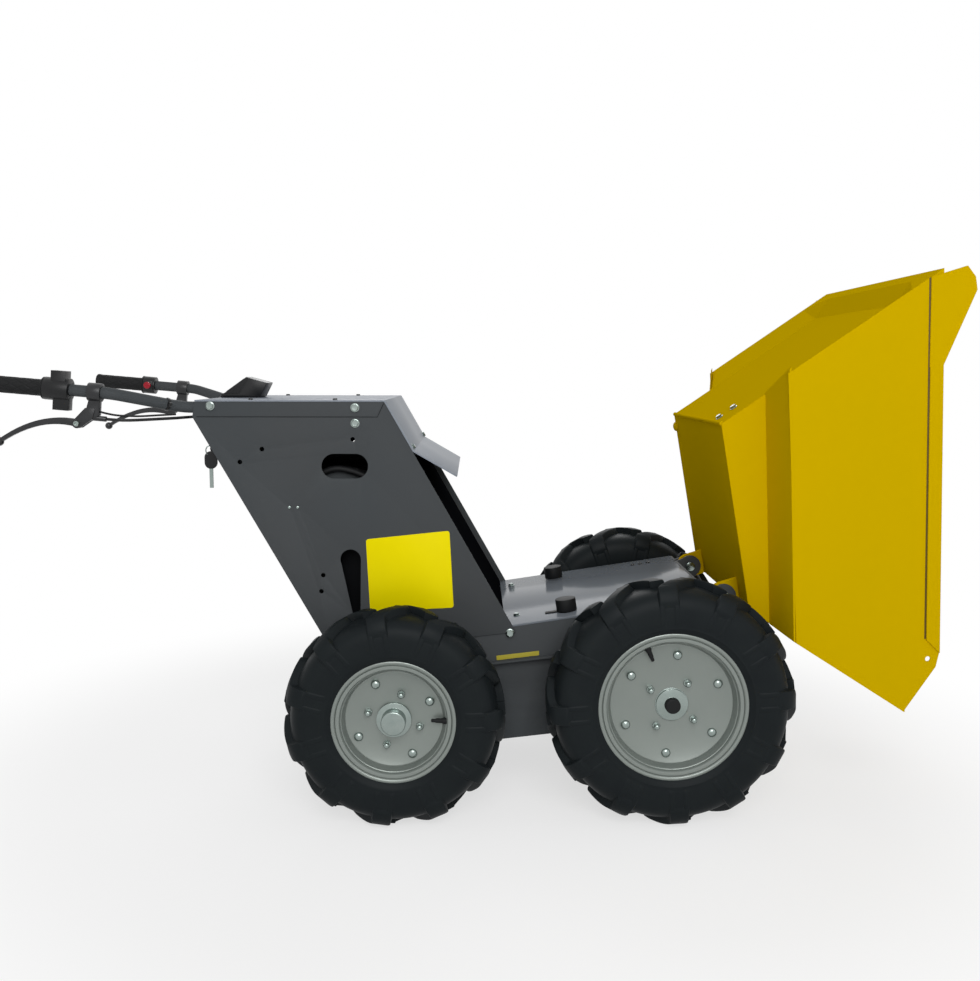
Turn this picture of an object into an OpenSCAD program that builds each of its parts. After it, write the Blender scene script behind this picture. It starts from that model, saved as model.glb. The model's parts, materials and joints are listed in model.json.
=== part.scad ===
// Walk-behind electric site dumper with a skip that tips over its front wheels.
// Millimetres: +X is forwards, +Z is up, the ground is Z = 0, and the skip stands tipped.
// Inside place(), X is counted from the front axle.

/* [Stance] */
// Distance from the origin forward to the front axle
front_axle_x = 365.5; // [330:0.5:400]
// Distance between the axles
wheelbase = 522; // [490:1:560]
// Distance between the middles of the left and right tyres
track = 630; // [620:1:680]

/* [Tyres and rims] */
// Front tyre diameter over its lugs
front_tyre_d = 474; // [466:1:482]
// Rear tyre diameter over its lugs
rear_tyre_d = 420; // [410:1:430]
// Width of a tyre over its sidewalls
tyre_w = 112; // [104:1:120]
// Squareness of a tyre's section, where 2 is round
tyre_square = 2.8; // [2.4:0.1:3.2]
// Number of tread lugs on each side of a front tyre
front_tread_lugs = 12; // [10:1:14]
// Number of tread lugs on each side of a rear tyre
rear_tread_lugs = 11; // [9:1:13]
// Turn of a front tyre's first outer lug from level, in degrees
front_tread_turn = 4; // [0:1:15]
// Turn of a rear tyre's first outer lug from level, in degrees
rear_tread_turn = 1; // [0:1:15]
// Height of a tread lug above the carcass
tread_lug_h = 14; // [10:1:16]
// Width of a tread lug at the tyre's shoulder
tread_lug_w = 35; // [30:1:38]
// Width of a tread lug's tip at the tread's middle
tread_tip_w = 26; // [20:1:30]
// Lead of a tread lug's tip ahead of its shoulder end, the way the tyre rolls
tread_lead = 46; // [36:1:50]
// Distance from the tread's middle to the bend in a tread lug
tread_bend = 36; // [30:1:42]
// Lap of a tread lug's tip over the tread's middle
tread_lap = 4; // [2:1:6]
// Reach of a tread lug down the sidewall from the tread
tread_skirt = 45; // [40:1:52]
// Height of a tread lug's end above the sidewall
tread_end_h = 1.5; // [1:0.5:3]
// Front rim diameter over its flanges
front_rim_d = 286; // [276:1:296]
// Rear rim diameter over its flanges
rear_rim_d = 238; // [228:1:248]
// Rim width over its flanges
rim_w = 90; // [84:1:96]
// Height of a rim flange above the bead seat
rim_flange_h = 16; // [12:1:20]
// Sheet thickness of a rim
rim_t = 4; // [3:0.5:5]
// Depth of the rim's middle well below the bead seat
rim_well = 12; // [8:1:14]
// Width of the rim's middle well at its bottom
rim_well_w = 28; // [24:1:34]
// Width of each slope between the well and the bead seats
rim_well_slope = 6; // [4:1:9]
// Size of the corner between a bead seat and its flange
bead_corner = 3; // [2:0.5:4]
// Gap between a tyre's bead and the rim's flange
bead_gap = 2; // [1:0.5:3]
// Depth of the wheel disc behind the outer flange
disc_recess = 22; // [18:1:24]
// Thickness of a wheel disc
disc_t = 5; // [4:0.5:7]
// Width of the cupped edge that joins a wheel disc to its rim
disc_cup_w = 7; // [5:0.5:9]
// Rise of the disc's cupped edge
disc_cup_h = 14; // [11:0.5:16]
// Diameter of the centre hole of a wheel disc
disc_bore_d = 64; // [50:1:68]

/* [Hubs and axles] */
// Diameter of a stub axle
stub_d = 30; // [24:1:34]
// Diameter of a hub's bolting flange
hub_flange_d = 128; // [122:1:136]
// Thickness of a hub's bolting flange
hub_flange_t = 14; // [10:1:18]
// Diameter of a hub barrel
hub_barrel_d = 66; // [52:1:70]
// Reach of a hub barrel inwards from the tyre's middle
hub_barrel_in = 45; // [38:1:48]
// Diameter of the front hub's end washer
front_washer_d = 60; // [50:1:62]
// Thickness of the front hub's end washer
front_washer_t = 5; // [3:0.5:8]
// Diameter of the front axle's end cap
front_cap_d = 29; // [26:1:36]
// Length of the front axle's end cap
front_cap_l = 12; // [8:1:14]
// Depth of the rounding at the edge of an axle's end cap
cap_round = 3; // [2:0.5:4]
// Diameter of the rear hub's collar
rear_collar_d = 66; // [56:1:70]
// Thickness of the rear hub's collar
rear_collar_t = 8; // [6:1:10]
// Diameter of the rear hub's grease cap
rear_cap_d = 46; // [40:1:52]
// Length of the rear hub's grease cap
rear_cap_l = 22; // [16:1:24]
// Diameter of an axle tube
axle_tube_d = 50; // [44:1:56]
// Gap between an axle tube's end and the hub barrel
axle_end_gap = 6; // [5:0.5:9]
// Diameter of an axle's bolting flange on the belly
axle_flange_d = 94; // [84:1:96]
// Thickness of an axle's bolting flange
axle_flange_t = 8; // [6:1:10]

/* [Chassis] */
// Clearance between a tyre's inner side and the chassis rails
tyre_gap = 36; // [31:1:44]
// Plate thickness of a chassis rail
rail_t = 4; // [3:0.5:5]
// How far a rail's bottom flange stands out
rail_flange = 14; // [8:1:18]
// Sheet thickness of the belly pan
belly_t = 3; // [2:0.5:4]
// Thickness of the deck plate
deck_t = 4; // [3:0.5:6]
// Place of the deck's front edge from the front axle
deck_front_x = 97; // [90:1:102]
// Height of the deck's front edge
deck_front_z = 420; // [412:1:424]
// Rise of the deck towards the front, in degrees
deck_slope = 8.5; // [7:0.1:9]
// Height of the rails' bottom edge under the deck's front edge
seam_front_z = 333; // [325:1:340]
// Height of the belly's bottom under the deck's front edge
belly_front_z = 173; // [165:1:180]
// Rise of the rails' bottom edge towards the front, in degrees
frame_slope = 6.4; // [6:0.1:7]
// Reach of the rails behind the rear axle
frame_overhang = 118; // [108:1:138]
// Reach of the belly pan behind the rear axle
belly_overhang = 88; // [80:1:96]
// Reach of the belly pan ahead of the front axle
belly_reach = 70; // [64:1:76]
// Height by which the belly's walls lap inside the rails
belly_lap = 25; // [15:1:30]
// Thickness of the front cross plate
cross_t = 6; // [5:1:8]
// Diameter of a rubber buffer for the lowered skip
buffer_d = 41; // [34:1:44]
// Height of a rubber buffer
buffer_h = 26; // [20:1:26]
// Place of the buffers from the front axle
buffer_x = -184; // [-190:1:-170]
// Distance of a buffer's middle from the rails' outer face
buffer_inset = 51; // [40:1:70]
// Width of the drive unit
drive_w = 220; // [200:1:260]
// Distance between the rear axle's tube and the drive unit
drive_rear_gap = 100; // [80:1:120]
// Distance between the front axle's tube and the drive unit
drive_front_gap = 60; // [40:1:80]
// Distance between the drive unit and the level of the rails' bottom edge
drive_top_gap = 10; // [6:1:20]

/* [Console] */
// Sheet thickness of the console's side plates
console_t = 3; // [2:0.5:4]
// Height of the console's side plates
console_top_z = 800; // [780:1:820]
// Length of the console's top edge
console_top_l = 363; // [350:1:376]
// Reach of the console's rear upper corner behind the rear axle
console_overhang = 386; // [378:1:398]
// Height of the crease band along the console's top edge
console_band = 29; // [26:1:34]
// Depth of the crease band
console_crease = 1; // [0.5:0.1:1.5]
// Step of the console's rear edge behind its upper corner, at the crease
console_tuck = 5; // [3:1:7]
// Lean of the console's front and rear edges, in degrees
console_slant = 29.5; // [28:0.1:31]
// Height of the console plates' bottom edge above the rails' bottom edge
console_lap = 58; // [50:1:64]
// Recess of the front panel behind the plates' front edges
front_recess = 14; // [10:1:20]
// Distance of the panels' top edges below the crease band
panel_drop = 4; // [3:1:8]
// Sheet thickness of the top cover
cover_t = 3; // [2:0.5:4]
// Height of the bend between the cover's front and its flap
cover_bend_z = 704; // [690:1:716]
// Length of the cover's flap
flap_l = 98; // [80:1:100]
// Droop of the flap below level, in degrees
flap_droop = 30; // [26:1:36]
// Width of the hand slot in a console plate
slot_w = 90; // [80:1:100]
// Height of the hand slot
slot_h = 48; // [40:1:52]
// Width of the drop slot at its top
drop_top_d = 40; // [34:1:44]
// Width of the drop slot at its bottom
drop_low_d = 16; // [12:1:20]
// Depth of the drop slot between the middles of its round ends
drop_depth = 104; // [90:1:110]
// Shift of the drop slot's bottom towards the front
drop_shift = 10; // [6:1:14]
// Diameter of the small bolt holes in a console plate
bolt_hole_d = 9; // [7:0.5:10]
// Diameter of the paired accessory holes in a console plate
clip_hole_d = 5; // [4:0.5:7]
// Distance between the paired accessory holes
clip_hole_gap = 16; // [14:1:20]
// Width of the display on the cover
display_w = 66; // [56:1:80]
// Distance of the display from the cover's rear edge
display_inset = 4; // [2:1:8]
// Length of the display
display_l = 98; // [90:1:104]
// Height of the display
display_h = 42; // [36:1:46]
// Distance of the key switch below the crease band
key_drop = 66; // [58:1:76]
// Diameter of the key switch's collar
key_collar_d = 22; // [20:1:26]
// Height of the key switch's collar
key_collar_h = 12; // [10:1:14]
// Width of the key's bow
key_bow_w = 25; // [22:1:28]
// Length of the key's blade below its bow
key_blade_l = 42; // [36:1:46]
// Thickness of the key
key_t = 4; // [3:0.5:5]
// Distance of the key switch from the console plate's inner face
key_inset = 43; // [36:1:60]
// Height of the battery pack's top
battery_top_z = 600; // [560:1:620]
// Gap between the battery pack and the panels in front of and behind it
battery_gap = 12; // [8:1:20]
// Gap between the battery pack and the console plates
battery_side_gap = 38; // [30:1:50]

/* [Handlebars] */
// Diameter of a handlebar tube
tube_d = 22; // [20:1:24]
// Distance between the grips' middles
grip_span = 580; // [560:1:600]
// Reach of a grip's outer end behind the console's rear upper corner
grip_overhang = 368; // [352:1:392]
// Height of a grip's outer end
grip_end_z = 836; // [820:1:850]
// Diameter of a grip
grip_d = 31; // [29:1:34]
// Length of a grip
grip_l = 113; // [105:1:114]
// Length of a handlebar's straight outer part
grip_run = 231; // [220:1:240]
// Rise of a handlebar's outer part, in degrees
grip_slope = 4.8; // [4:0.1:6]
// Bend radius of a handlebar tube
tube_bend_r = 60; // [50:1:64]
// Reach of a handlebar's first corner behind the console
tube_stub = 26; // [26:1:40]
// Distance of a handlebar's inner end behind the console's front upper corner
tube_inset = 45; // [38:1:52]
// Width of the flange at a grip's inner end, beyond the grip
grip_flange = 5; // [3:0.5:6]
// Thickness of the flange at a grip's inner end
grip_flange_t = 4; // [3:0.5:5]
// Thickness of a grip's closed outer end
grip_cap_t = 3; // [2:0.5:4]
// Length of the right switch pod
pod_right_l = 46; // [42:1:50]
// Diameter of the right switch pod
pod_right_d = 42; // [38:1:44]
// Length of the left switch pod
pod_left_l = 27; // [24:1:30]
// Diameter of the left switch pod
pod_left_d = 40; // [36:1:42]
// Diameter of the red stop button
stop_d = 16; // [14:1:18]
// Height of the red stop button
stop_h = 7; // [5:1:9]
// Width of a brake lever at its pivot
lever_w = 14; // [12:1:16]
// Width of a brake lever before its ball end
lever_tip_w = 7; // [6:0.5:9]
// Thickness of a brake lever's blade
lever_t = 9; // [7:0.5:11]
// Diameter of a brake lever's ball end
lever_ball_d = 17; // [15:1:20]
// Diameter of a brake cable
cable_d = 6; // [5:0.5:7]

/* [Skip] */
// Angle of the skip's floor from level as it stands tipped
bin_tip = 80; // [78:0.5:80]
// Place of the tipping pivot from the front axle
hinge_x = 133; // [131:1:136]
// Height of the tipping pivot
hinge_z = 408; // [406:1:411]
// Distance of the skip's floor from the pivot
floor_v = 32.5; // [31.5:0.5:35.5]
// Sheet thickness of the skip
bin_t = 3; // [2.5:0.5:4]
// Clearance between a tyre's inner side and the skip's lower part
bin_tyre_gap = 23; // [20:1:30]
// Width of the skip's upper part
bin_top_w = 634; // [620:1:650]
// Length of the floor behind the pivot
floor_rear = 351; // [343:1:358]
// Length of the floor ahead of the pivot
floor_front = 22; // [18:1:26]
// Lean of the rear wall off the floor's normal, in degrees
rear_lean = 24.5; // [23:0.5:26]
// Lean of the front wall off the floor's normal, in degrees
front_lean = 42.5; // [41:0.5:44]
// Height of the side flare's inner edge at the rear wall
flare_rear_v = 123.5; // [119.5:0.5:127.5]
// Height of the side flare's inner edge at the front wall
flare_front_v = 67.5; // [64.5:0.5:71.5]
// Height that the side flare gains outwards
flare_rise = 24; // [20:1:28]
// Step of the rear wall's rim and edges behind its middle panel
rear_step = 24; // [16:1:28]
// Height of the rim at the rear wall
rim_rear_v = 457.5; // [447.5:0.5:465.5]
// Height of the rim at its front end
rim_front_v = 359.5; // [353.5:0.5:365.5]
// Length of the front wall's pouring lip from the floor, along the wall
pour_l = 332; // [320:1:340]
// Width of the doubled band along the rim
rim_band = 26; // [22:1:30]
// Thickness of the doubled band
rim_band_t = 3; // [2:0.5:4]
// Rise of the rear corner ears above the rim
ear_rise = 54; // [46:1:60]
// Length of a rear corner ear along the rim
ear_l = 174; // [160:1:190]
// Run of the side's front corner from the rim's end to the front wall's line
rim_front_run = 178; // [170:1:186]
// Depth below the rim where the rear wall's pressed step ends
step_high_drop = 28; // [24:1:34]
// Depth below the rim where the rear wall's pressed step starts
step_low_drop = 62; // [56:1:70]
// Diameter of the rolled bead along the floor's rear edge
floor_bead_d = 9; // [8:0.5:11]
// Diameter of a lashing hole in the skip's sides
lash_hole_d = 10; // [8:0.5:14]

/* [Tipping pivot] */
// Distance between the two pivots
pivot_span = 328; // [310:1:344]
// Diameter of a pivot pin
pin_d = 16; // [14:1:18]
// Diameter of a lug's round end
lug_d = 50; // [46:1:52]
// Plate thickness of a lug
lug_t = 6; // [5:0.5:8]
// Plate thickness of a skip bracket
bracket_t = 10; // [8:0.5:12]
// Diameter of a skip bracket's round end
bracket_d = 56; // [52:1:57]
// Length of a skip bracket along the floor
bracket_l = 54; // [50:1:55]
// Diameter of a pivot pin's heads
pin_head_d = 21; // [20:1:26]
// Thickness of a pivot pin's heads
pin_head_t = 5; // [4:0.5:7]
// Depth of the cross plate's notch below the pivot
notch_drop = 20; // [18:1:28]

/* [Clearances] */
// Radial clearance of a turning pin or shaft
run_gap = 0.05; // [0.02:0.01:0.1]
// Gap between pieces that seat on each other
seat_gap = 0.2; // [0.1:0.05:0.3]
// Side clearance of a skip bracket between its lugs
lug_gap = 2; // [1.5:0.5:3]
// Gap between a stub axle's end and the bottom of its bore
stub_end_gap = 1; // [0.5:0.5:2]

/* [Hidden] */
$fn = 64;

right = 1;
left = -1;
front_axle_z = front_tyre_d / 2;
rear_axle_z = rear_tyre_d / 2;
rear_axle_x = -wheelbase;
rail_w = track - tyre_w - 2 * tyre_gap;
frame_rear_x = rear_axle_x - frame_overhang;
console_rear_x = rear_axle_x - console_overhang;
grip_end_x = console_rear_x - grip_overhang;

// Paint and material colours
yellow = "#c3a106";
dark_grey = "#46474b";
light_grey = "#9a9ca3";
rim_grey = "#8c8e8a";
black = "#1e2224";
zinc = "#b9bcc0";
red = "#a3141e";

// Wheel levels along the wheel's own axis, outwards from the tyre's middle
rim_out = rim_w / 2;
disc_out = rim_out - disc_recess;
disc_in = disc_out - disc_t;
stub_out = disc_in - stub_end_gap;
axle_half = track / 2 - hub_barrel_in - axle_end_gap;

// Chassis lines
belly_half = rail_w / 2 - rail_t;
belly_rear_x = rear_axle_x - belly_overhang;
function deck_z(x) = deck_front_z + (x - deck_front_x) * tan(deck_slope);
function seam_z(x) = seam_front_z + (x - deck_front_x) * tan(frame_slope);
function belly_z(x) = belly_front_z + (x - deck_front_x) * tan(frame_slope);

// Console lines
console_half = rail_w / 2 + console_t;
fold_z = console_top_z - console_band;
rear_fold_x = console_rear_x - console_tuck;
front_top_x = console_rear_x + console_top_l;
function rear_x(z) = rear_fold_x + (fold_z - z) * tan(console_slant);
function front_x(z) = front_top_x + (console_top_z - z) * tan(console_slant);
// Where the slanted line down from (x0, z0) meets a line of the given slope and front height
function meet_x(x0, z0, front_z, slope) = let (t = tan(console_slant), m = tan(slope))
  (x0 + t * (z0 - front_z + deck_front_x * m)) / (1 + m * t);
function foot_x(x0, z0) = meet_x(x0, z0, seam_front_z + console_lap, frame_slope);
function foot_point(x0, z0) = [foot_x(x0, z0), seam_z(foot_x(x0, z0)) + console_lap];
slant_step = console_t / cos(console_slant);
panel_top_z = fold_z - panel_drop;

// Handlebar lines, for the right side
tube_y = rail_w / 2 - tube_d / 2 - seat_gap;
tube_z = console_top_z - tube_d / 2;
grip_bend_x = grip_end_x + grip_run;
grip_bend_z = grip_end_z - grip_run * tan(grip_slope);
tube_front = [front_top_x - tube_inset, -tube_y, tube_z];
tube_bend = [console_rear_x - tube_stub, -tube_y, tube_z];
grip_bend = [grip_bend_x, -grip_span / 2, grip_bend_z];
grip_tip = [grip_end_x, -grip_span / 2, grip_end_z];
tube_bore_r = tube_d / 2 + seat_gap;
tube_short = grip_cap_t + 1;
grip_reach = norm(grip_tip - grip_bend);
grip_start = grip_reach - grip_l;

// Skip outline in its own frame: u runs forwards along the floor, v rises off it, from the pivot
low_half = track / 2 - tyre_w / 2 - bin_tyre_gap;
top_half = bin_top_w / 2;
function rear_u(v) = -floor_rear - (v - floor_v) * tan(rear_lean);
function step_u(v) = rear_u(v) - rear_step;
function front_u(v) = floor_front + (v - floor_v) * tan(front_lean);
pour_u = front_u(floor_v) + pour_l * sin(front_lean);
pour_v = floor_v + pour_l * cos(front_lean);
rim_front_u = front_u(rim_front_v) - rim_front_run;
rear_rim_u = step_u(rim_rear_v);
rim_slope = (rim_rear_v - rim_front_v) / (rim_front_u - rear_rim_u);
function rim_v(u) = rim_front_v + (rim_front_u - u) * rim_slope;
ear_front_u = rear_rim_u + ear_l;
step_low_v = rim_rear_v - step_low_drop;
step_high_v = rim_rear_v - step_high_drop;
flare_rear_out = flare_rear_v + flare_rise;
flare_front_out = flare_front_v + flare_rise;
flare_slope = (flare_rear_v - flare_front_v) / (front_u(flare_front_v) - rear_u(flare_rear_v));

// Small shared shapes

function unit(v) = v / norm(v);
function left_of(v) = [-v[1], v[0]];

// A point of a sheet's path, moved square to the sheet by t
function mitre(pts, i, t) = let (
    a = i > 0 ? unit(pts[i] - pts[i - 1]) : unit(pts[1] - pts[0]),
    b = i < len(pts) - 1 ? unit(pts[i + 1] - pts[i]) : a)
  pts[i] + (left_of(a) + left_of(b)) * (t / (1 + a * b));

// Outline of a bent sheet whose one face follows the path
function bent_sheet(pts, t) =
  concat(pts, [for (i = [len(pts) - 1:-1:0]) mitre(pts, i, t)]);

module place() {
  translate([front_axle_x, 0, 0]) children();
}

module on_side(side) {
  if (side == right) children();
  else mirror([0, 1, 0]) children();
}

module both_sides() {
  on_side(right) children();
  on_side(left) children();
}

// Extrudes an outline drawn in X and Z to the width w, about the middle plane
module side_view(w) {
  rotate([90, 0, 0]) linear_extrude(w, center = true) children();
}

// The same, from the distance y0 to y1 on the right side
module right_plate(y0, y1) {
  translate([0, -(y0 + y1) / 2, 0]) side_view(y1 - y0) children();
}

module cross_rod(x, z, r, y0, y1) {
  translate([x, -y0, z]) rotate([90, 0, 0]) cylinder(h = y1 - y0, r = r);
}

// Closed skin between two lines of points, moved by shift to give it its thickness
module skin(a, b, shift) {
  n = len(a);
  face_out = concat(a, b);
  pts = concat(face_out, [for (p = face_out) p + shift]);
  m = 2 * n;
  strip = [for (i = [0:n - 2]) each [[i, i + 1, n + i], [i + 1, n + i + 1, n + i]]];
  back = [for (f = strip) [m + f[2], m + f[1], m + f[0]]];
  edge = concat([for (i = [0:n - 1]) i], [for (i = [n - 1:-1:0]) n + i]);
  wall = [for (k = [0:m - 1]) let (p = edge[k], q = edge[(k + 1) % m])
    each [[q, p, m + p], [q, m + p, m + q]]];
  polyhedron(pts, concat(strip, back, wall));
}

// Tube of radius r along a line of points
module swept_tube(line, r, sides) {
  n = len(line);
  pts = [for (i = [0:n - 1]) let (
      d = unit(line[min(i + 1, n - 1)] - line[max(i - 1, 0)]),
      s = unit(cross(d, [0, 0, 1])),
      up = cross(s, d))
    each [for (k = [0:sides - 1]) let (a = 360 * k / sides)
      line[i] + r * (cos(a) * s + sin(a) * up)]];
  wall = [for (i = [0:n - 2], k = [0:sides - 1]) let (j = (k + 1) % sides)
    each [[i * sides + k, (i + 1) * sides + j, (i + 1) * sides + k],
      [i * sides + k, i * sides + j, (i + 1) * sides + j]]];
  ends = [[for (k = [sides - 1:-1:0]) k], [for (k = [0:sides - 1]) (n - 1) * sides + k]];
  polyhedron(pts, concat(wall, ends));
}

// Points of a round bend at b, between the directions from a and to c
function bend_points(a, b, c, bend_r) = let (
    u1 = unit(b - a),
    u2 = unit(c - b),
    turn = acos(u1 * u2),
    inward = unit(u2 - u1 * (u1 * u2)),
    start = b - u1 * bend_r * tan(turn / 2))
  [for (i = [0:5]) let (t = turn * i / 5)
    start + u1 * bend_r * sin(t) + inward * bend_r * (1 - cos(t))];

// Wheels, each with its axis along local Z, outwards

module at_wheel(x, z, side) {
  place() translate([x, 0, z]) on_side(side) translate([0, -track / 2, 0]) rotate([90, 0, 0])
    children();
}

// Rounded-square curve of a tyre's section, with half width a and half height b
function tyre_curve(a, b) = [for (t = [0:15:345])
  [a * sign(cos(t)) * pow(abs(cos(t)), 2 / tyre_square),
    b * sign(sin(t)) * pow(abs(sin(t)), 2 / tyre_square)]];

// Ring of a tyre out to the radius out_r, on a rim of the radius rim_r
module tyre_ring(out_r, rim_r, half_w) {
  seat_r = rim_r - rim_flange_h + seat_gap;
  mid_r = (out_r + seat_r) / 2;
  bead_half = rim_out - 2 * rim_t;
  flank = rim_out - rim_t - bead_gap;
  rotate_extrude($fn = 128) difference() {
    union() {
      translate([mid_r, 0]) rotate(90) polygon(tyre_curve(half_w, out_r - mid_r));
      translate([seat_r, -bead_half]) square([mid_r - seat_r, 2 * bead_half]);
    }
    for (s = [-1, 1])
      translate([0, s * (flank + tyre_w / 2)]) square([2 * (rim_r + bead_gap), tyre_w], center = true);
  }
}

// Bar of one outer tread lug, from its tip at the tread's middle to beyond the shoulder
module tread_bar(tyre_r) {
  tip = tread_tip_w / 2;
  end = tread_lug_w / 2;
  translate([tyre_r - tread_skirt, 0, 0]) rotate([90, 0, 90]) linear_extrude(2 * tread_skirt)
    polygon([[-tread_lead - tip, -tread_lap], [tip - tread_lead, -tread_lap], [end, tread_bend],
      [end, tyre_w], [-end, tyre_w], [-end, tread_bend]]);
}

// Tread lugs in two rows, the inner row half a pitch behind the outer one
module tyre(tyre_d, rim_d, lugs, turn) {
  tyre_r = tyre_d / 2;
  color(black) {
    tyre_ring(tyre_r - tread_lug_h, rim_d / 2, tyre_w / 2 - tread_end_h);
    intersection() {
      tyre_ring(tyre_r, rim_d / 2, tyre_w / 2);
      for (i = [0:lugs - 1]) {
        rotate([0, 0, turn + 360 * i / lugs]) tread_bar(tyre_r);
        rotate([0, 0, turn + 360 * (i + 0.5) / lugs]) mirror([0, 0, 1]) tread_bar(tyre_r);
      }
    }
  }
}

module rim(rim_d) {
  flange_r = rim_d / 2;
  seat_r = flange_r - rim_flange_h;
  well_r = seat_r - rim_well;
  wall_r = seat_r - rim_t;
  well = rim_well_w / 2;
  seat = well + rim_well_slope;
  half = [[rim_out, flange_r - rim_t / 2], [rim_out - rim_t, flange_r - rim_t / 2],
    [rim_out - rim_t, seat_r + bead_corner], [rim_out - rim_t - bead_corner, seat_r],
    [seat, seat_r], [well, well_r]];
  under = [[well + rim_t / 2, well_r - rim_t], [seat + rim_t / 2, wall_r],
    [rim_out - rim_t, wall_r], [rim_out, seat_r]];
  outline = concat(half, [for (i = [5:-1:0]) [-half[i][0], half[i][1]]],
    [for (i = [3:-1:0]) [-under[i][0], under[i][1]]], under);
  color(rim_grey) {
    rotate_extrude($fn = 128) polygon([for (p = outline) [p[1], p[0]]]);
    for (s = [-1, 1])
      rotate_extrude($fn = 128)
        translate([flange_r - rim_t / 2, s * (rim_out - rim_t / 2)]) circle(d = rim_t, $fn = 32);
    rotate_extrude($fn = 128)
      translate([disc_bore_d / 2, disc_in]) square([wall_r + rim_t / 4 - disc_bore_d / 2, disc_t]);
    rotate_extrude($fn = 128)
      polygon([[wall_r - disc_cup_w, disc_out - disc_t / 2], [wall_r - disc_cup_w, disc_out],
        [wall_r, disc_out + disc_cup_h], [wall_r + rim_t / 4, disc_out + disc_cup_h],
        [wall_r + rim_t / 4, disc_out - disc_t / 2]]);
  }
}

module hub_body() {
  difference() {
    union() {
      translate([0, 0, disc_in - hub_flange_t]) cylinder(h = hub_flange_t, d = hub_flange_d);
      translate([0, 0, -hub_barrel_in]) cylinder(h = hub_barrel_in, d = hub_barrel_d);
      cylinder(h = disc_out, d = disc_bore_d - 2 * seat_gap);
    }
    translate([0, 0, -hub_barrel_in - 1])
      cylinder(h = disc_in + hub_barrel_in + 1, r = stub_d / 2 + run_gap);
  }
}

// End cap of an axle, with a rounded edge
module axle_cap(d, l) {
  cylinder(h = l - cap_round, d = d);
  translate([0, 0, l - cap_round]) rotate_extrude() {
    square([d / 2 - cap_round, cap_round]);
    intersection() {
      translate([d / 2 - cap_round, 0]) circle(r = cap_round, $fn = 32);
      square([d, cap_round]);
    }
  }
}

module front_hub() {
  color(zinc) {
    hub_body();
    translate([0, 0, disc_out]) cylinder(h = front_washer_t, d = front_washer_d);
    translate([0, 0, disc_out + front_washer_t]) axle_cap(front_cap_d, front_cap_l);
  }
}

module rear_hub() {
  color(zinc) {
    hub_body();
    translate([0, 0, disc_out]) cylinder(h = rear_collar_t, d = rear_collar_d);
    translate([0, 0, disc_out + rear_collar_t]) axle_cap(rear_cap_d, rear_cap_l);
  }
}

module front_tyre(side) {
  at_wheel(0, front_axle_z, side)
    tyre(front_tyre_d, front_rim_d, front_tread_lugs, front_tread_turn);
}

module rear_tyre(side) {
  at_wheel(rear_axle_x, rear_axle_z, side)
    tyre(rear_tyre_d, rear_rim_d, rear_tread_lugs, rear_tread_turn);
}

module front_rim(side) {
  at_wheel(0, front_axle_z, side) rim(front_rim_d);
}

module rear_rim(side) {
  at_wheel(rear_axle_x, rear_axle_z, side) rim(rear_rim_d);
}

module axle(x, z) {
  color(dark_grey) place() {
    cross_rod(x, z, axle_tube_d / 2, -axle_half, axle_half);
    both_sides() cross_rod(x, z, axle_flange_d / 2, belly_half, belly_half + axle_flange_t);
    cross_rod(x, z, stub_d / 2, -track / 2 - stub_out, track / 2 + stub_out);
  }
}

// Chassis

module frame_band(x0, x1, low, high) {
  polygon([[x0, low[0]], [x1, low[1]], [x1, high[1]], [x0, high[0]]]);
}

module chassis_rail(side) {
  x0 = frame_rear_x;
  x1 = deck_front_x;
  low = [seam_z(x0), seam_z(x1)];
  color(dark_grey) place() on_side(side) {
    right_plate(rail_w / 2 - rail_t, rail_w / 2)
      frame_band(x0, x1, low, [deck_z(x0) - deck_t, deck_z(x1) - deck_t]);
    right_plate(rail_w / 2 - rail_t, rail_w / 2 + rail_flange)
      frame_band(x0, x1, low, [low[0] + rail_t, low[1] + rail_t]);
  }
}

module belly_pan() {
  x0 = belly_rear_x;
  x1 = belly_reach;
  in0 = x0 + belly_t;
  in1 = x1 - belly_t;
  color(dark_grey) place() {
    difference() {
      side_view(2 * belly_half)
        frame_band(x0, x1, [belly_z(x0), belly_z(x1)],
          [seam_z(x0) + belly_lap, seam_z(x1) + belly_lap]);
      side_view(2 * (belly_half - belly_t))
        frame_band(in0, in1, [belly_z(in0) + belly_t, belly_z(in1) + belly_t],
          [console_top_z, console_top_z]);
      cross_rod(0, front_axle_z, axle_tube_d / 2 + seat_gap, -rail_w, rail_w);
      cross_rod(rear_axle_x, rear_axle_z, axle_tube_d / 2 + seat_gap, -rail_w, rail_w);
    }
    side_view(2 * belly_half)
      frame_band(x0, in0, [seam_z(x0), seam_z(in0)],
        [deck_z(x0) - deck_t - seat_gap, deck_z(in0) - deck_t - seat_gap]);
  }
}

module deck() {
  x0 = frame_rear_x;
  x1 = deck_front_x;
  color(light_grey) place() side_view(rail_w - 2 * seat_gap)
    frame_band(x0, x1, [deck_z(x0) - deck_t, deck_z(x1) - deck_t], [deck_z(x0), deck_z(x1)]);
}

module drive_unit() {
  x0 = rear_axle_x + axle_tube_d + drive_rear_gap;
  x1 = -axle_tube_d - drive_front_gap;
  color(dark_grey) place() side_view(drive_w)
    frame_band(x0, x1, [belly_z(x0) + belly_t + seat_gap, belly_z(x1) + belly_t + seat_gap],
      [seam_z(x0) - drive_top_gap, seam_z(x1) - drive_top_gap]);
}

module battery_pack() {
  x0 = rear_x(deck_z(frame_rear_x)) + slant_step + battery_gap;
  x1 = front_x(battery_top_z) - front_recess - slant_step - battery_gap;
  color(black) place() side_view(rail_w - 2 * battery_side_gap)
    frame_band(x0, x1, [deck_z(x0) + seat_gap, deck_z(x1) + seat_gap], [battery_top_z, battery_top_z]);
}

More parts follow.
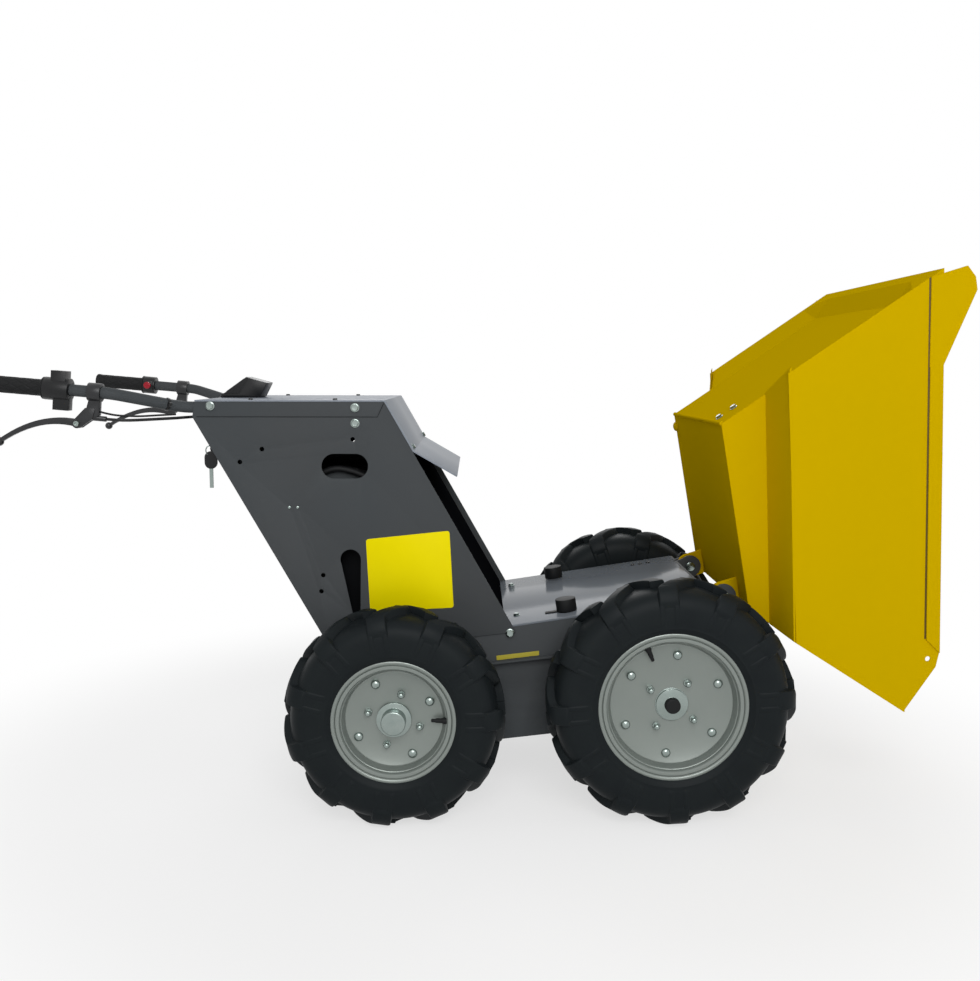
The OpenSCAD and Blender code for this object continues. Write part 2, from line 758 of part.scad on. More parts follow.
lug_inner = pivot_span / 2 - bracket_t / 2 - lug_gap;
lug_outer = pivot_span / 2 + bracket_t / 2 + lug_gap;

// Side of a lug: its foot stands along the cross plate, its round end carries the pin
module lug_outline() {
  foot_x = deck_front_x + cross_t / 2;
  chin = lug_d / 2 * sqrt(0.5);
  difference() {
    union() {
      translate([hinge_x, hinge_z]) circle(d = lug_d);
      polygon([[foot_x, seam_front_z + cross_t], [foot_x, deck_front_z], [hinge_x, hinge_z + lug_d / 2],
        [hinge_x + chin, hinge_z - chin]]);
    }
    translate([hinge_x, hinge_z]) circle(r = pin_d / 2 + run_gap);
  }
}

module front_crossmember() {
  x = deck_front_x + seat_gap;
  notch_z = hinge_z - notch_drop;
  color(dark_grey) place() {
    difference() {
      side_view(rail_w) translate([x, seam_front_z]) square([cross_t, deck_front_z - seam_front_z]);
      both_sides() right_plate(lug_inner, lug_outer)
        translate([x - 1, notch_z]) square([cross_t + 2, deck_front_z - notch_z + 1]);
    }
    both_sides() {
      right_plate(lug_inner - lug_t, lug_inner) lug_outline();
      right_plate(lug_outer, lug_outer + lug_t) lug_outline();
    }
  }
}

module hinge_pins() {
  in_y = lug_inner - lug_t - seat_gap;
  out_y = lug_outer + lug_t + seat_gap;
  color(zinc) place() both_sides() {
    cross_rod(hinge_x, hinge_z, pin_d / 2, in_y - pin_head_t, out_y + pin_head_t);
    cross_rod(hinge_x, hinge_z, pin_head_d / 2, out_y, out_y + pin_head_t);
    cross_rod(hinge_x, hinge_z, pin_head_d / 2, in_y - pin_head_t, in_y);
  }
}

module bin_buffers() {
  color(black) place() both_sides()
    translate([buffer_x, buffer_inset - rail_w / 2, deck_z(buffer_x)]) rotate([0, -deck_slope, 0])
      translate([0, 0, seat_gap]) cylinder(h = buffer_h, d = buffer_d);
}

// Console

module obround(w, h) {
  square([w - h, h], center = true);
  for (s = [-1, 1]) translate([s * (w - h) / 2, 0]) circle(d = h);
}

// Tall slot that narrows downwards
module drop_slot(top_d, low_d, run, drop) {
  circle(d = top_d);
  translate([run, -drop]) circle(d = low_d);
  polygon([[-top_d / 2, 0], [top_d / 2, 0], [run + low_d / 2, -drop], [run - low_d / 2, -drop]]);
}

module console_outline() {
  polygon([[console_rear_x, console_top_z], [rear_fold_x, fold_z], foot_point(rear_fold_x, fold_z),
    foot_point(front_top_x, console_top_z), [front_top_x, console_top_z]]);
}

// Places on a side plate, from its front or its rear upper corner
front_bolt = [-61, -72];
rear_bolts = [[127, -91], [84, -116], [241, -338], [237, -370]];
clip_place = [186, -204];
slot_place = [-77, -124];
drop_place = [-68, -307];

module console_holes() {
  translate([front_top_x, console_top_z]) {
    translate(front_bolt) circle(d = bolt_hole_d);
    translate(slot_place) obround(slot_w, slot_h);
    translate(drop_place) drop_slot(drop_top_d, drop_low_d, drop_shift, drop_depth);
  }
  translate([console_rear_x, console_top_z]) {
    for (p = rear_bolts)
      translate(p) circle(d = bolt_hole_d);
    for (s = [-1, 1])
      translate(clip_place + [s * clip_hole_gap / 2, 0]) circle(d = clip_hole_d);
  }
}

module console_side(side) {
  color(dark_grey) place() on_side(side) difference() {
    right_plate(rail_w / 2, console_half) difference() {
      console_outline();
      console_holes();
    }
    right_plate(console_half - console_crease, console_half + 1)
      polygon([[rear_fold_x - 5, fold_z], [front_top_x - console_band * 0.6, fold_z],
        [front_top_x + 1, console_top_z + 1], [rear_fold_x - 5, console_top_z + 1]]);
  }
}

// Sheet between the side plates along a slanted line
module slant_panel(x_high, z_high, x_low, z_low) {
  color(dark_grey) place() side_view(rail_w - 2 * seat_gap)
    polygon([[x_high, z_high], [x_low, z_low], [x_low + slant_step, z_low], [x_high + slant_step, z_high]]);
}

module console_rear_panel() {
  low = deck_z(frame_rear_x) + seat_gap;
  slant_panel(rear_x(panel_top_z), panel_top_z, rear_x(low), low);
}

module console_front_panel() {
  face_x = front_top_x - front_recess;
  low = deck_z(meet_x(face_x, console_top_z, deck_front_z, deck_slope)) + 2 * seat_gap;
  shift = front_recess + slant_step;
  slant_panel(front_x(panel_top_z) - shift, panel_top_z, front_x(low) - shift, low);
}

module console_cover() {
  z = console_top_z + seat_gap;
  step = seat_gap / cos(console_slant);
  bend = [front_x(cover_bend_z) + step, cover_bend_z];
  color(light_grey) place() side_view(2 * console_half)
    polygon(bent_sheet([[console_rear_x, z], [front_x(z) + step, z], bend,
      bend + flap_l * [cos(flap_droop), -sin(flap_droop)]], cover_t));
}

// Side of the display, as shares of its length and height: a low base and a raised, tilted head
display_side = [[0, 0], [0, 0.19], [0.39, 0.21], [0.59, 1], [1, 0.74], [0.84, 0]];

module display() {
  x = console_rear_x + display_inset;
  z = console_top_z + cover_t + 2 * seat_gap;
  color(black) place() side_view(display_w)
    polygon([for (p = display_side) [x + p[0] * display_l, z + p[1] * display_h]]);
}

module key_switch() {
  z = fold_z - key_drop;
  r = key_bow_w / 2;
  color(black) place() translate([rear_x(z), key_inset - rail_w / 2, z]) {
    rotate([0, -90 - console_slant, 0]) translate([0, 0, seat_gap])
      cylinder(h = key_collar_h, d = key_collar_d);
    translate([-key_collar_h - key_t + 1, 0, -2 * r - 1]) side_view(key_t) {
      circle(r = r);
      translate([-r, 0]) square([2 * r, 0.8 * r]);
      translate([0, 0.8 * r]) circle(r = r);
      translate([-0.28 * r, -key_blade_l - 0.64 * r]) square([0.56 * r, key_blade_l]);
    }
  }
}

// Handlebars. Along a grip, local Z runs to its outer end, local X points down, local Y outwards

module on_grip(side) {
  place() on_side(side) translate(grip_bend) rotate([0, -90 + grip_slope, 0])
    rotate([0, 0, 180]) children();
}

// Extrudes an outline drawn along the grip and downwards to the width w
module grip_plane(w) {
  multmatrix([[0, -1, 0, 0], [0, 0, 1, 0], [1, 0, 0, 0], [0, 0, 0, 1]])
    linear_extrude(w, center = true) children();
}

module handlebar(side) {
  color(dark_grey) place() on_side(side)
    swept_tube(concat([tube_front], bend_points(tube_front, tube_bend, grip_bend, tube_bend_r),
      bend_points(tube_bend, grip_bend, grip_tip, tube_bend_r),
      [grip_tip - tube_short * unit(grip_tip - grip_bend)]), tube_d / 2, 20);
}

module grips() {
  color(black) for (side = [right, left]) on_grip(side) translate([0, 0, grip_start])
    rotate_extrude() difference() {
      union() {
        square([grip_d / 2, grip_l]);
        square([grip_d / 2 + grip_flange, grip_flange_t]);
      }
      translate([-1, -1]) square([tube_bore_r + 1, grip_l + 1 - grip_cap_t]);
    }
}

module pod_shell(z0, z1, r) {
  difference() {
    union() {
      translate([0, 0, z0]) cylinder(h = z1 - z0, r = r);
      children();
    }
    translate([0, 0, z0 - 10]) cylinder(h = z1 - z0 + 20, r = tube_bore_r);
  }
}

pod_end = grip_start - seat_gap;

module switch_pod_right() {
  r = pod_right_d / 2;
  color(black) on_grip(right) pod_shell(pod_end - pod_right_l, pod_end, r) {
    translate([-1.62 * r, -0.67 * r, pod_end - 0.87 * pod_right_l])
      cube([1.62 * r, 1.34 * r, 0.57 * pod_right_l]);
    translate([0.71 * r, -0.52 * r, pod_end - pod_right_l]) cube([1.1 * r, 1.04 * r, 0.61 * pod_right_l]);
  }
}

stop_seat = 1.15 * pod_left_d / 2;

module switch_pod_left() {
  r = pod_left_d / 2;
  color(black) on_grip(left) pod_shell(pod_end - pod_left_l, pod_end, r)
    translate([-r / 2, -stop_seat, pod_end - 0.89 * pod_left_l]) cube([r, stop_seat, 0.78 * pod_left_l]);
}

module stop_button() {
  color(red) on_grip(left) translate([0, -stop_seat - seat_gap, pod_end - pod_left_l / 2])
    rotate([90, 0, 0]) cylinder(h = stop_h, d = stop_d);
}

// A brake lever's middle line: from its pivot, past a guiding point, to its ball
lever_pivot = [56, -60];
lever_mid = [128, -48];
lever_tip = [200, -106];
function lever_line(t) = lever_pivot * pow(1 - t, 2) + lever_mid * 2 * t * (1 - t) + lever_tip * t * t;
function lever_side(t) = left_of(unit((lever_mid - lever_pivot) * (1 - t) + (lever_tip - lever_mid) * t));
function lever_half(t) = (lever_w + (lever_tip_w - lever_w) * t) / 2;

module brake_levers() {
  steps = [for (i = [0:12]) i / 12];
  color(black) for (side = [right, left]) on_grip(side) {
    grip_plane(lever_t) {
      polygon(concat([for (t = steps) lever_line(t) + lever_side(t) * lever_half(t)],
        [for (i = [12:-1:0]) lever_line(i / 12) - lever_side(i / 12) * lever_half(i / 12)]));
      translate(lever_pivot) circle(r = lever_half(0));
    }
    translate([-lever_tip[1], 0, lever_tip[0]]) sphere(d = lever_ball_d);
  }
}

module brake_perches() {
  color(zinc) for (side = [right, left]) on_grip(side) {
    pod_shell(15, 39, 17)
      grip_plane(12) polygon([[17, -14], [37, -14], [42, -36], [46, -49], [34, -54], [17, -42]]);
    for (s = [-1, 1])
      translate([0, s * (lever_t / 2 + 2 + seat_gap), 0]) grip_plane(4) {
        polygon([[24, -30], [42, -30], [64, -56], [50, -68], [28, -50]]);
        translate(lever_pivot) circle(r = 9);
      }
    translate([48, 0, 5]) cylinder(h = 24, r = 5);
  }
}

// Brake cables, each one smooth line through the points of its route on the right side
cable_rest_z = panel_top_z + cable_d / 2 + seat_gap;
cable_x = console_rear_x;
cable_y = -tube_y;
cable_route = [[cable_x - 145.4, -grip_span / 2, 769], [cable_x - 117, -grip_span / 2 + 1, 767],
  [cable_x - 92, cable_y - 66, 767], [cable_x - 62, cable_y - 46, 768],
  [cable_x - 32, cable_y - 22, 769], [cable_x - 10, cable_y + 4, cable_rest_z],
  [cable_x + 8, cable_y + 22, cable_rest_z], [cable_x + 28, cable_y + 28, cable_rest_z]];

function on_curve(p, i, t) = let (
    a = p[max(i - 1, 0)],
    b = p[i],
    c = p[i + 1],
    d = p[min(i + 2, len(p) - 1)])
  (2 * b + (c - a) * t + (2 * a - 5 * b + 4 * c - d) * t * t + (3 * b - a - 3 * c + d) * t * t * t) / 2;

module cable(route) {
  line = [for (i = [0:len(route) - 2]) each [for (t = [0, 0.5]) on_curve(route, i, t)],
    route[len(route) - 1]];
  swept_tube(line, cable_d / 2, 8);
}

module brake_cables() {
  color(black) place() both_sides() cable(cable_route);
}

// Skip

module bin_frame() {
  place() translate([hinge_x, 0, hinge_z]) rotate([0, bin_tip, 0]) children();
}

module bin_floor() {
  half = low_half - bin_t - seat_gap;
  color(yellow) bin_frame() {
    side_view(2 * half) translate([-floor_rear, floor_v]) square([floor_rear + floor_front, bin_t]);
    cross_rod(-floor_rear, floor_v + bin_t / 2, floor_bead_d / 2, -half, half);
  }
}

// Front wall, drawn flat: across the skip, and along the wall from the floor
module bin_front_wall() {
  rise = floor_v + bin_t + seat_gap;
  along = 1 / cos(front_lean);
  half_low = low_half - bin_t - seat_gap;
  half_top = top_half - bin_t - seat_gap;
  flare_top = bin_t + 4 * seat_gap;
  s1 = (flare_front_v + flare_top - rise) * along;
  s2 = (flare_front_out + flare_top - rise) * along;
  s3 = pour_l;
  color(yellow) bin_frame() translate([front_u(rise), 0, rise]) rotate([0, front_lean, 0])
    rotate([0, -90, 0]) linear_extrude(bin_t)
      polygon([[0, -half_low], [s1, -half_low], [s2, -half_top], [s3, -half_top],
        [s3, half_top], [s2, half_top], [s1, half_low], [0, half_low]]);
}

// Rear wall: a middle panel set in from the rim and edges by a pressed step
module bin_rear_wall() {
  low_v = floor_v + bin_t / 2 + floor_bead_d / 2 + seat_gap;
  mid_low_v = flare_rear_v + bin_t + 3;
  shift = bin_t / cos(rear_lean);
  edge = top_half - bin_t - seat_gap;
  half_low = low_half - bin_t - seat_gap;
  mid_path = [[rear_u(mid_low_v), mid_low_v], [rear_u(step_low_v), step_low_v],
    [step_u(step_high_v), step_high_v], [rear_rim_u, rim_rear_v]];
  edge_low_v = flare_rear_out + bin_t + rear_step * flare_slope + 4;
  edge_path = [[step_u(edge_low_v), edge_low_v], [step_u(step_low_v), step_low_v],
    [step_u(step_high_v), step_high_v], [rear_rim_u, rim_rear_v]];
  color(yellow) bin_frame() {
    side_view(2 * half_low)
      polygon([[rear_u(low_v), low_v], [rear_u(low_v) + shift, low_v],
        [rear_u(mid_low_v) + shift, mid_low_v], [rear_u(mid_low_v), mid_low_v]]);
    side_view(2 * half_low)
      polygon(concat(mid_path, [for (i = [3:-1:0]) mid_path[i] + [shift, 0]]));
    both_sides()
      skin([for (p = mid_path) [p[0], -half_low, p[1]]], [for (p = edge_path) [p[0], -edge, p[1]]],
        [shift, 0, 0]);
  }
}

module rim_corner() {
  polygon([[step_u(rim_v(rear_rim_u) - rim_band), rim_v(rear_rim_u) - rim_band],
    [rear_rim_u + 3, rim_rear_v + ear_rise - 12], [rear_rim_u + 25, rim_rear_v + ear_rise],
    [rear_rim_u + 49, rim_rear_v + ear_rise], [ear_front_u, rim_v(ear_front_u)],
    [ear_front_u, rim_v(ear_front_u) - rim_band]]);
}

module side_low() {
  lap = bin_t * 0.8;
  polygon([[-floor_rear, floor_v], [floor_front, floor_v],
    [front_u(flare_front_v), flare_front_v + lap], [rear_u(flare_rear_v), flare_rear_v + lap]]);
}

// Upper side, its lower edge within the thickness of the flare
module side_top() {
  lap = bin_t * 0.6;
  rear_v = flare_rear_out + lap;
  front_v = flare_front_out + lap;
  polygon([[step_u(rear_v), rear_v], [front_u(front_v), front_v],
    [pour_u, pour_v], [rim_front_u + 26, rim_front_v - 10], [rim_front_u, rim_front_v],
    [rear_rim_u, rim_v(rear_rim_u)]]);
  rim_corner();
}

// Sloping strip that widens the side over the tyre, cut off along the front and rear walls
module side_flare() {
  rear_in = [rear_u(flare_rear_v), flare_rear_v];
  rear_out = [step_u(flare_rear_out), flare_rear_out];
  front_in = [front_u(flare_front_v), flare_front_v];
  front_out = [front_u(flare_front_out), flare_front_out];
  run = front_in - rear_in;
  fall = atan2(-run[1], run[0]);
  low_y = low_half - bin_t;
  intersection() {
    translate([front_in[0], 0, front_in[1]]) rotate([0, fall, 0]) translate([-1.5 * norm(run), 0, 0])
      rotate([90, 0, 90]) linear_extrude(2 * norm(run))
        polygon([[-low_y, 0], [-top_half, flare_rise], [-top_half, flare_rise + bin_t], [-low_y, bin_t]]);
    right_plate(0, top_half + 1)
      polygon([2 * rear_in - rear_out, 2 * rear_out - rear_in, 2 * front_out - front_in,
        2 * front_in - front_out]);
  }
}

module bin_side(side) {
  color(yellow) bin_frame() on_side(side) {
    right_plate(low_half - bin_t, low_half) side_low();
    side_flare();
    right_plate(top_half - bin_t, top_half) difference() {
      side_top();
      translate([rim_front_u + 8, rim_front_v - 23]) circle(d = lash_hole_d);
    }
  }
}

module bin_rim() {
  color(yellow) bin_frame() both_sides() right_plate(top_half, top_half + rim_band_t) {
    polygon([[rear_rim_u + 10, rim_v(rear_rim_u) - rim_band],
      [rim_front_u - 30, rim_v(rim_front_u - 30) - rim_band],
      [rim_front_u, rim_front_v], [ear_front_u, rim_v(ear_front_u)]]);
    rim_corner();
  }
}

module bin_brackets() {
  r = bracket_d / 2;
  color(yellow) bin_frame() both_sides()
    right_plate(pivot_span / 2 - bracket_t / 2, pivot_span / 2 + bracket_t / 2) difference() {
      union() {
        circle(r = r);
        polygon([[floor_front - bracket_l, floor_v], [floor_front, floor_v], [r, 0], [-r, 0]]);
      }
      circle(r = pin_d / 2 + run_gap);
    }
}

front_tyre(right);  // front_right_tyre
front_tyre(left);  // front_left_tyre
rear_tyre(right);  // rear_right_tyre
rear_tyre(left);  // rear_left_tyre
front_rim(right);  // front_right_rim
front_rim(left);  // front_left_rim
rear_rim(right);  // rear_right_rim
rear_rim(left);  // rear_left_rim
at_wheel(0, front_axle_z, right) front_hub();  // front_right_hub
at_wheel(0, front_axle_z, left) front_hub();  // front_left_hub
at_wheel(rear_axle_x, rear_axle_z, right) rear_hub();  // rear_right_hub
at_wheel(rear_axle_x, rear_axle_z, left) rear_hub();  // rear_left_hub
axle(0, front_axle_z);  // front_axle
axle(rear_axle_x, rear_axle_z);  // rear_axle
drive_unit();
battery_pack();
chassis_rail(right);  // chassis_rail_right
chassis_rail(left);  // chassis_rail_left
belly_pan();
deck();
front_crossmember();
hinge_pins();
bin_buffers();
console_side(right);  // console_side_right
console_side(left);  // console_side_left
console_rear_panel();
console_front_panel();
console_cover();
display();
key_switch();
handlebar(right);  // handlebar_right
handlebar(left);  // handlebar_left
grips();
switch_pod_right();
switch_pod_left();
stop_button();
brake_perches();
brake_levers();
brake_cables();
bin_floor();
bin_front_wall();
bin_rear_wall();
bin_side(right);  // bin_side_right
bin_side(left);  // bin_side_left
bin_rim();
bin_brackets();
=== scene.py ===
"""Looks of a walk-behind site dumper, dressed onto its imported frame.

Lengths in the classes are millimetres. X counts forwards from the front axle, Y to the machine's
left and Z up from the ground; Rig.at turns such a point into metres in the shared frame.
"""

from __future__ import annotations

import json
import logging
import math
from collections.abc import Callable, Iterable, Iterator, Mapping, Sequence
from contextlib import contextmanager
from dataclasses import dataclass
from enum import Enum
from functools import cache
from typing import Any

import bmesh
import bpy
from mathutils import Matrix, Vector

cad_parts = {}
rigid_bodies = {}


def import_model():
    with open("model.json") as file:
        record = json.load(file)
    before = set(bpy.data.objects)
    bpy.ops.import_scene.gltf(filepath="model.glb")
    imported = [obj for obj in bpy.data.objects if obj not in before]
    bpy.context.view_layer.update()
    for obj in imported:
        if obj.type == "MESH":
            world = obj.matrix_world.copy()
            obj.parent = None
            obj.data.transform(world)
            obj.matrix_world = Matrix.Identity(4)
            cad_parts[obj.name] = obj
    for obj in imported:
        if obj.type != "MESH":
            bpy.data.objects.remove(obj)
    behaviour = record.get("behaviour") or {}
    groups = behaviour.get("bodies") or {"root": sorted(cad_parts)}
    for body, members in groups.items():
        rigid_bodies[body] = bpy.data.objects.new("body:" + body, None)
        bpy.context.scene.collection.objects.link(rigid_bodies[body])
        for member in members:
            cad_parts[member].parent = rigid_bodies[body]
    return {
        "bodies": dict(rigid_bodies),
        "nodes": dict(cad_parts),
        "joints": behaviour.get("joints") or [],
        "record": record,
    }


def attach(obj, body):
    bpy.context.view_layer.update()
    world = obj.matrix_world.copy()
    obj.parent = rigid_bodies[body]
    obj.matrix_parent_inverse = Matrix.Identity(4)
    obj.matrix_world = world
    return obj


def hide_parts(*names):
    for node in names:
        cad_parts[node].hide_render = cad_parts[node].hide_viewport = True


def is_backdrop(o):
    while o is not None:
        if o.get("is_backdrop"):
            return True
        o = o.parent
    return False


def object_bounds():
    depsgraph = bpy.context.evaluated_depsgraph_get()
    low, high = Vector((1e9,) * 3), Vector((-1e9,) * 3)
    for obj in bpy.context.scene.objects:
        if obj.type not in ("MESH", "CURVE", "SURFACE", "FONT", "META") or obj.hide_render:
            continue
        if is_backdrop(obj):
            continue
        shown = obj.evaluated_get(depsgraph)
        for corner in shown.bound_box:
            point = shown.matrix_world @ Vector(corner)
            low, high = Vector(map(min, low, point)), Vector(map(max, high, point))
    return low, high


MM = 0.001
WHITE = (1.0, 1.0, 1.0, 1.0)
log = logging.getLogger("site_dumper")

Pair = tuple[float, float]
Point = tuple[float, float, float]
Shape = tuple[list[Vector], list[list[int]]]


class Side(Enum):
    """Side of the machine, as the sign of Y."""

    RIGHT = -1
    LEFT = 1


class Head(Enum):
    """Head shapes of the fasteners."""

    HEX_FLANGE = "hex_flange"
    DOME = "dome"
    PAN = "pan"
    STUD = "stud"


def linear_colour(code: str) -> tuple[float, float, float, float]:
    """Turns an sRGB hex colour into linear values.

    Args:
        code: six hex digits after a hash sign.

    Returns:
        Linear red, green, blue and an alpha of 1.
    """
    channels = [int(code[i : i + 2], 16) / 255 for i in (1, 3, 5)]
    red, green, blue = [c / 12.92 if c <= 0.04045 else ((c + 0.055) / 1.055) ** 2.4 for c in channels]
    return red, green, blue, 1.0


def set_inputs(tree: bpy.types.NodeTree, node: bpy.types.Node, inputs: Mapping[int | str, Any]) -> None:
    """Links or sets a node's inputs.

    Args:
        tree: the node's tree.
        node: the node.
        inputs: by input name or number, a socket to link or a value to set.
    """
    for key, value in inputs.items():
        if isinstance(value, bpy.types.NodeSocket):
            tree.links.new(value, node.inputs[key])
        else:
            node.inputs[key].default_value = value


def add_node(
    tree: bpy.types.NodeTree, kind: str, inputs: Mapping[int | str, Any] | None = None, **settings: Any
) -> bpy.types.Node:
    """Adds a node with its settings and links.

    Args:
        tree: the tree that gets the node.
        kind: the node's type name.
        inputs: by input name or number, a socket to link or a value to set.
        settings: the node's own properties.

    Returns:
        The new node.
    """
    node = tree.nodes.new(kind)
    for name, value in settings.items():
        setattr(node, name, value)
    set_inputs(tree, node, inputs or {})
    return node


@dataclass(frozen=True)
class Finish:
    """A surface finish with broad colour drift, a smudged gloss and a fine relief."""

    name: str
    slot: str
    colour: str
    drift: str
    patch_mm: float
    roughness: float
    smudge: float
    grain_mm: float
    grain_depth_mm: float
    metallic: float = 0.0
    coat: float = 0.0
    specular: float = 0.5

    def build(self) -> bpy.types.Material:
        """Builds the material from the finish's sizes.

        Returns:
            The material.
        """
        material = bpy.data.materials.new(self.name)
        material.use_nodes = True
        tree = material.node_tree
        coords = add_node(tree, "ShaderNodeTexCoord").outputs["Object"]
        noises = []
        for size_mm, detail in ((self.patch_mm, 4.0), (self.grain_mm, 2.0)):
            inputs = {"Vector": coords, "Scale": 1 / (size_mm * MM), "Detail": detail}
            noises.append(add_node(tree, "ShaderNodeTexNoise", inputs).outputs["Fac"])
        patches, grain = noises
        colours = {0: patches, 6: linear_colour(self.colour), 7: linear_colour(self.drift)}
        mix = add_node(tree, "ShaderNodeMix", colours, data_type="RGBA")
        span = {0: patches, 3: self.roughness - self.smudge, 4: self.roughness + self.smudge}
        gloss = add_node(tree, "ShaderNodeMapRange", span)
        relief = {"Height": grain, "Distance": self.grain_depth_mm * MM, "Strength": 1.0}
        bump = add_node(tree, "ShaderNodeBump", relief)
        looks = {
            "Base Color": mix.outputs[2],
            "Roughness": gloss.outputs[0],
            "Normal": bump.outputs["Normal"],
            "Metallic": self.metallic,
            "Specular IOR Level": self.specular,
            "Coat Weight": self.coat,
            "Coat Roughness": 0.08,
        }
        set_inputs(tree, tree.nodes["Principled BSDF"], looks)
        return material


# Enamel over pressed steel, dulled by use: a deep even yellow that mirrors nothing
SKIP_PAINT = Finish(
    "yellow_enamel", "skip_paint", "#CCA600", "#C1A300", 420, 0.45, 0.05, 2.4, 0.012, specular=0.0
)
# Painted shadow under the lower edge of the skip's doubled rims: the same yellow, darkened and dull
RIM_EDGE_SHADOW = Finish("joint_sealer", "skip_paint", "#5E4A00", "#544200", 30, 0.6, 0.06, 1.5, 0.03)
# Dark powder coat: satin and finely pebbled, so highlights spread
GREY_PAINT = Finish(
    "dark_grey_powder_coat", "grey_paint", "#4C4D4E", "#43484B", 320, 0.46, 0.05, 1.6, 0.02, specular=0.03
)
# Near-black colour on the recessed front panel: painted shade, so the recess reads as a gap
RECESS_SHADE_BLACK = Finish(
    "flat_black_paint", "grey_paint", "#0A0B0E", "#0F1013", 120, 0.7, 0.05, 1.6, 0.02, specular=0.0
)
# Light grey enamel: satin, so broad soft light lies evenly on it
COVER_PAINT = Finish(
    "light_grey_enamel", "cover_paint", "#8A9099", "#848A93", 240, 0.34, 0.04, 2.6, 0.004, specular=0.03
)
# The same enamel on the deck, darker as painted reflection of dark surroundings, and polished by the skip:
# faint mirror images at low angles
DECK_PAINT = Finish(
    "worn_grey_enamel", "cover_paint", "#747A81", "#6D737A", 200, 0.14, 0.04, 2.6, 0.003, specular=0.04
)
# Silver wheel paint: its aluminium flake gives a soft sheen
RIM_PAINT = Finish(
    "silver_wheel_paint", "rim_paint", "#858C87", "#7C837F", 90, 0.34, 0.05, 0.9, 0.006, metallic=0.4
)
# Bright zinc plate with a cool passivated skin: small sharp highlights
ZINC = Finish("bright_zinc_plate", "zinc", "#86938F", "#9CA5A1", 14, 0.24, 0.06, 0.7, 0.003, metallic=1.0)
# Vulcanised tyre rubber: dull, with a dusty bloom
TYRE_RUBBER = Finish("tyre_rubber", "tyre", "#13171A", "#1C2122", 46, 0.5, 0.08, 1.1, 0.04, specular=0.09)
# Moulded grip and buffer rubber: black and dull
SOFT_RUBBER = Finish("moulded_rubber", "rubber", "#0F1011", "#161718", 20, 0.6, 0.08, 0.8, 0.03, specular=0.2)
# Spark-grained ABS of the switch pods and the display: black with a soft shine
BLACK_PLASTIC = Finish(
    "grained_black_abs", "black_plastic", "#0F1011", "#151618", 24, 0.36, 0.06, 0.9, 0.03, specular=0.3
)
# Moulded red push button: smooth, with a small bright highlight
RED_PLASTIC = Finish(
    "gloss_red_plastic", "red_plastic", "#A30F26", "#930B1E", 8, 0.22, 0.04, 1.2, 0.004, specular=0.3
)
# Black paint over an aluminium casting: half gloss, with the sand-cast texture showing through
LEVER_PAINT = Finish(
    "black_cast_lever", "lever_metal", "#141517", "#1E1F22", 16, 0.34, 0.07, 0.9, 0.04, metallic=0.1
)
# Adhesive vinyl, blank: a clean, even yellow with a low sheen
YELLOW_VINYL = Finish(
    "yellow_vinyl", "skip_paint", "#F0DF00", "#EBD900", 60, 0.4, 0.04, 1.5, 0.003, specular=0.05
)
# Dusty vinyl of the strip on the rail: a duller yellow
STRIP_VINYL = Finish("dusty_yellow_vinyl", "skip_paint", "#B4A82C", "#A89A28", 24, 0.45, 0.05, 1.5, 0.004)
# Glass of the display: black, with a sharp mirror
DARK_GLASS = Finish(
    "display_glass", "black_plastic", "#0C0E12", "#12151A", 20, 0.08, 0.03, 3.0, 0.001, coat=0.5
)
# Painted iron castings inside the machine: dark and rough
CAST_IRON = Finish("painted_cast_iron", "drive_iron", "#2E2F33", "#27282B", 60, 0.5, 0.06, 1.4, 0.06)
# Moulded case of the battery: near black and dull, so the slots look deep
BATTERY_CASE = Finish(
    "moulded_battery_case", "battery_case", "#0B0C0E", "#101113", 60, 0.6, 0.05, 1.2, 0.03, specular=0.05
)


@cache
def material_of(finish: Finish) -> bpy.types.Material:
    """The one material of a finish."""
    return finish.build()


class Rig:
    """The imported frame, with the places that the looks take from it."""

    def __init__(self) -> None:
        """Loads the frame and reads the axle and pivot places from its joints."""
        self.frame: dict[str, Any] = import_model()
        self.cad_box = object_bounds()
        joints = {j["name"]: Vector(j["pos_m"]) for j in self.frame["joints"]}
        self.front_axle = joints["front_right_wheel_spin"]
        self.skip_pivot = joints["skip_tip"]
        self.wheel_centres = {
            name.removesuffix("_spin"): place for name, place in joints.items() if name.endswith("_spin")
        }
        self.slots = {p["node"]: p["material_slot"] for p in self.frame["record"]["subparts"]}
        bodies = self.frame["record"]["behaviour"]["bodies"]
        self.bodies = {node: body for body, nodes in bodies.items() for node in nodes}

    def at(self, x: float, y: float, z: float) -> Vector:
        """A point in millimetres from the front axle's ground point, in metres in the frame."""
        return Vector((self.front_axle.x + x * MM, y * MM, z * MM))


def shade(mesh: bpy.types.Mesh, angle_deg: float = 38.0) -> None:
    """Smooths a mesh's shading, apart from edges sharper than the angle."""
    mesh.polygons.foreach_set("use_smooth", [True] * len(mesh.polygons))
    mesh.set_sharp_from_angle(angle=math.radians(angle_deg))


def stand(name: str, data: bpy.types.ID) -> bpy.types.Object:
    """Adds an object to the scene, at the origin.

    Args:
        name: the object's name.
        data: its mesh, camera or light.

    Returns:
        The object.
    """
    made = bpy.data.objects.new(name, data)
    bpy.context.scene.collection.objects.link(made)
    return made


@contextmanager
def edited(mesh: bpy.types.Mesh) -> Iterator[bmesh.types.BMesh]:
    """Opens a mesh for editing and writes it back.

    Args:
        mesh: the mesh.

    Yields:
        The open mesh.
    """
    shape = bmesh.new()
    shape.from_mesh(mesh)
    yield shape
    shape.to_mesh(mesh)
    shape.free()


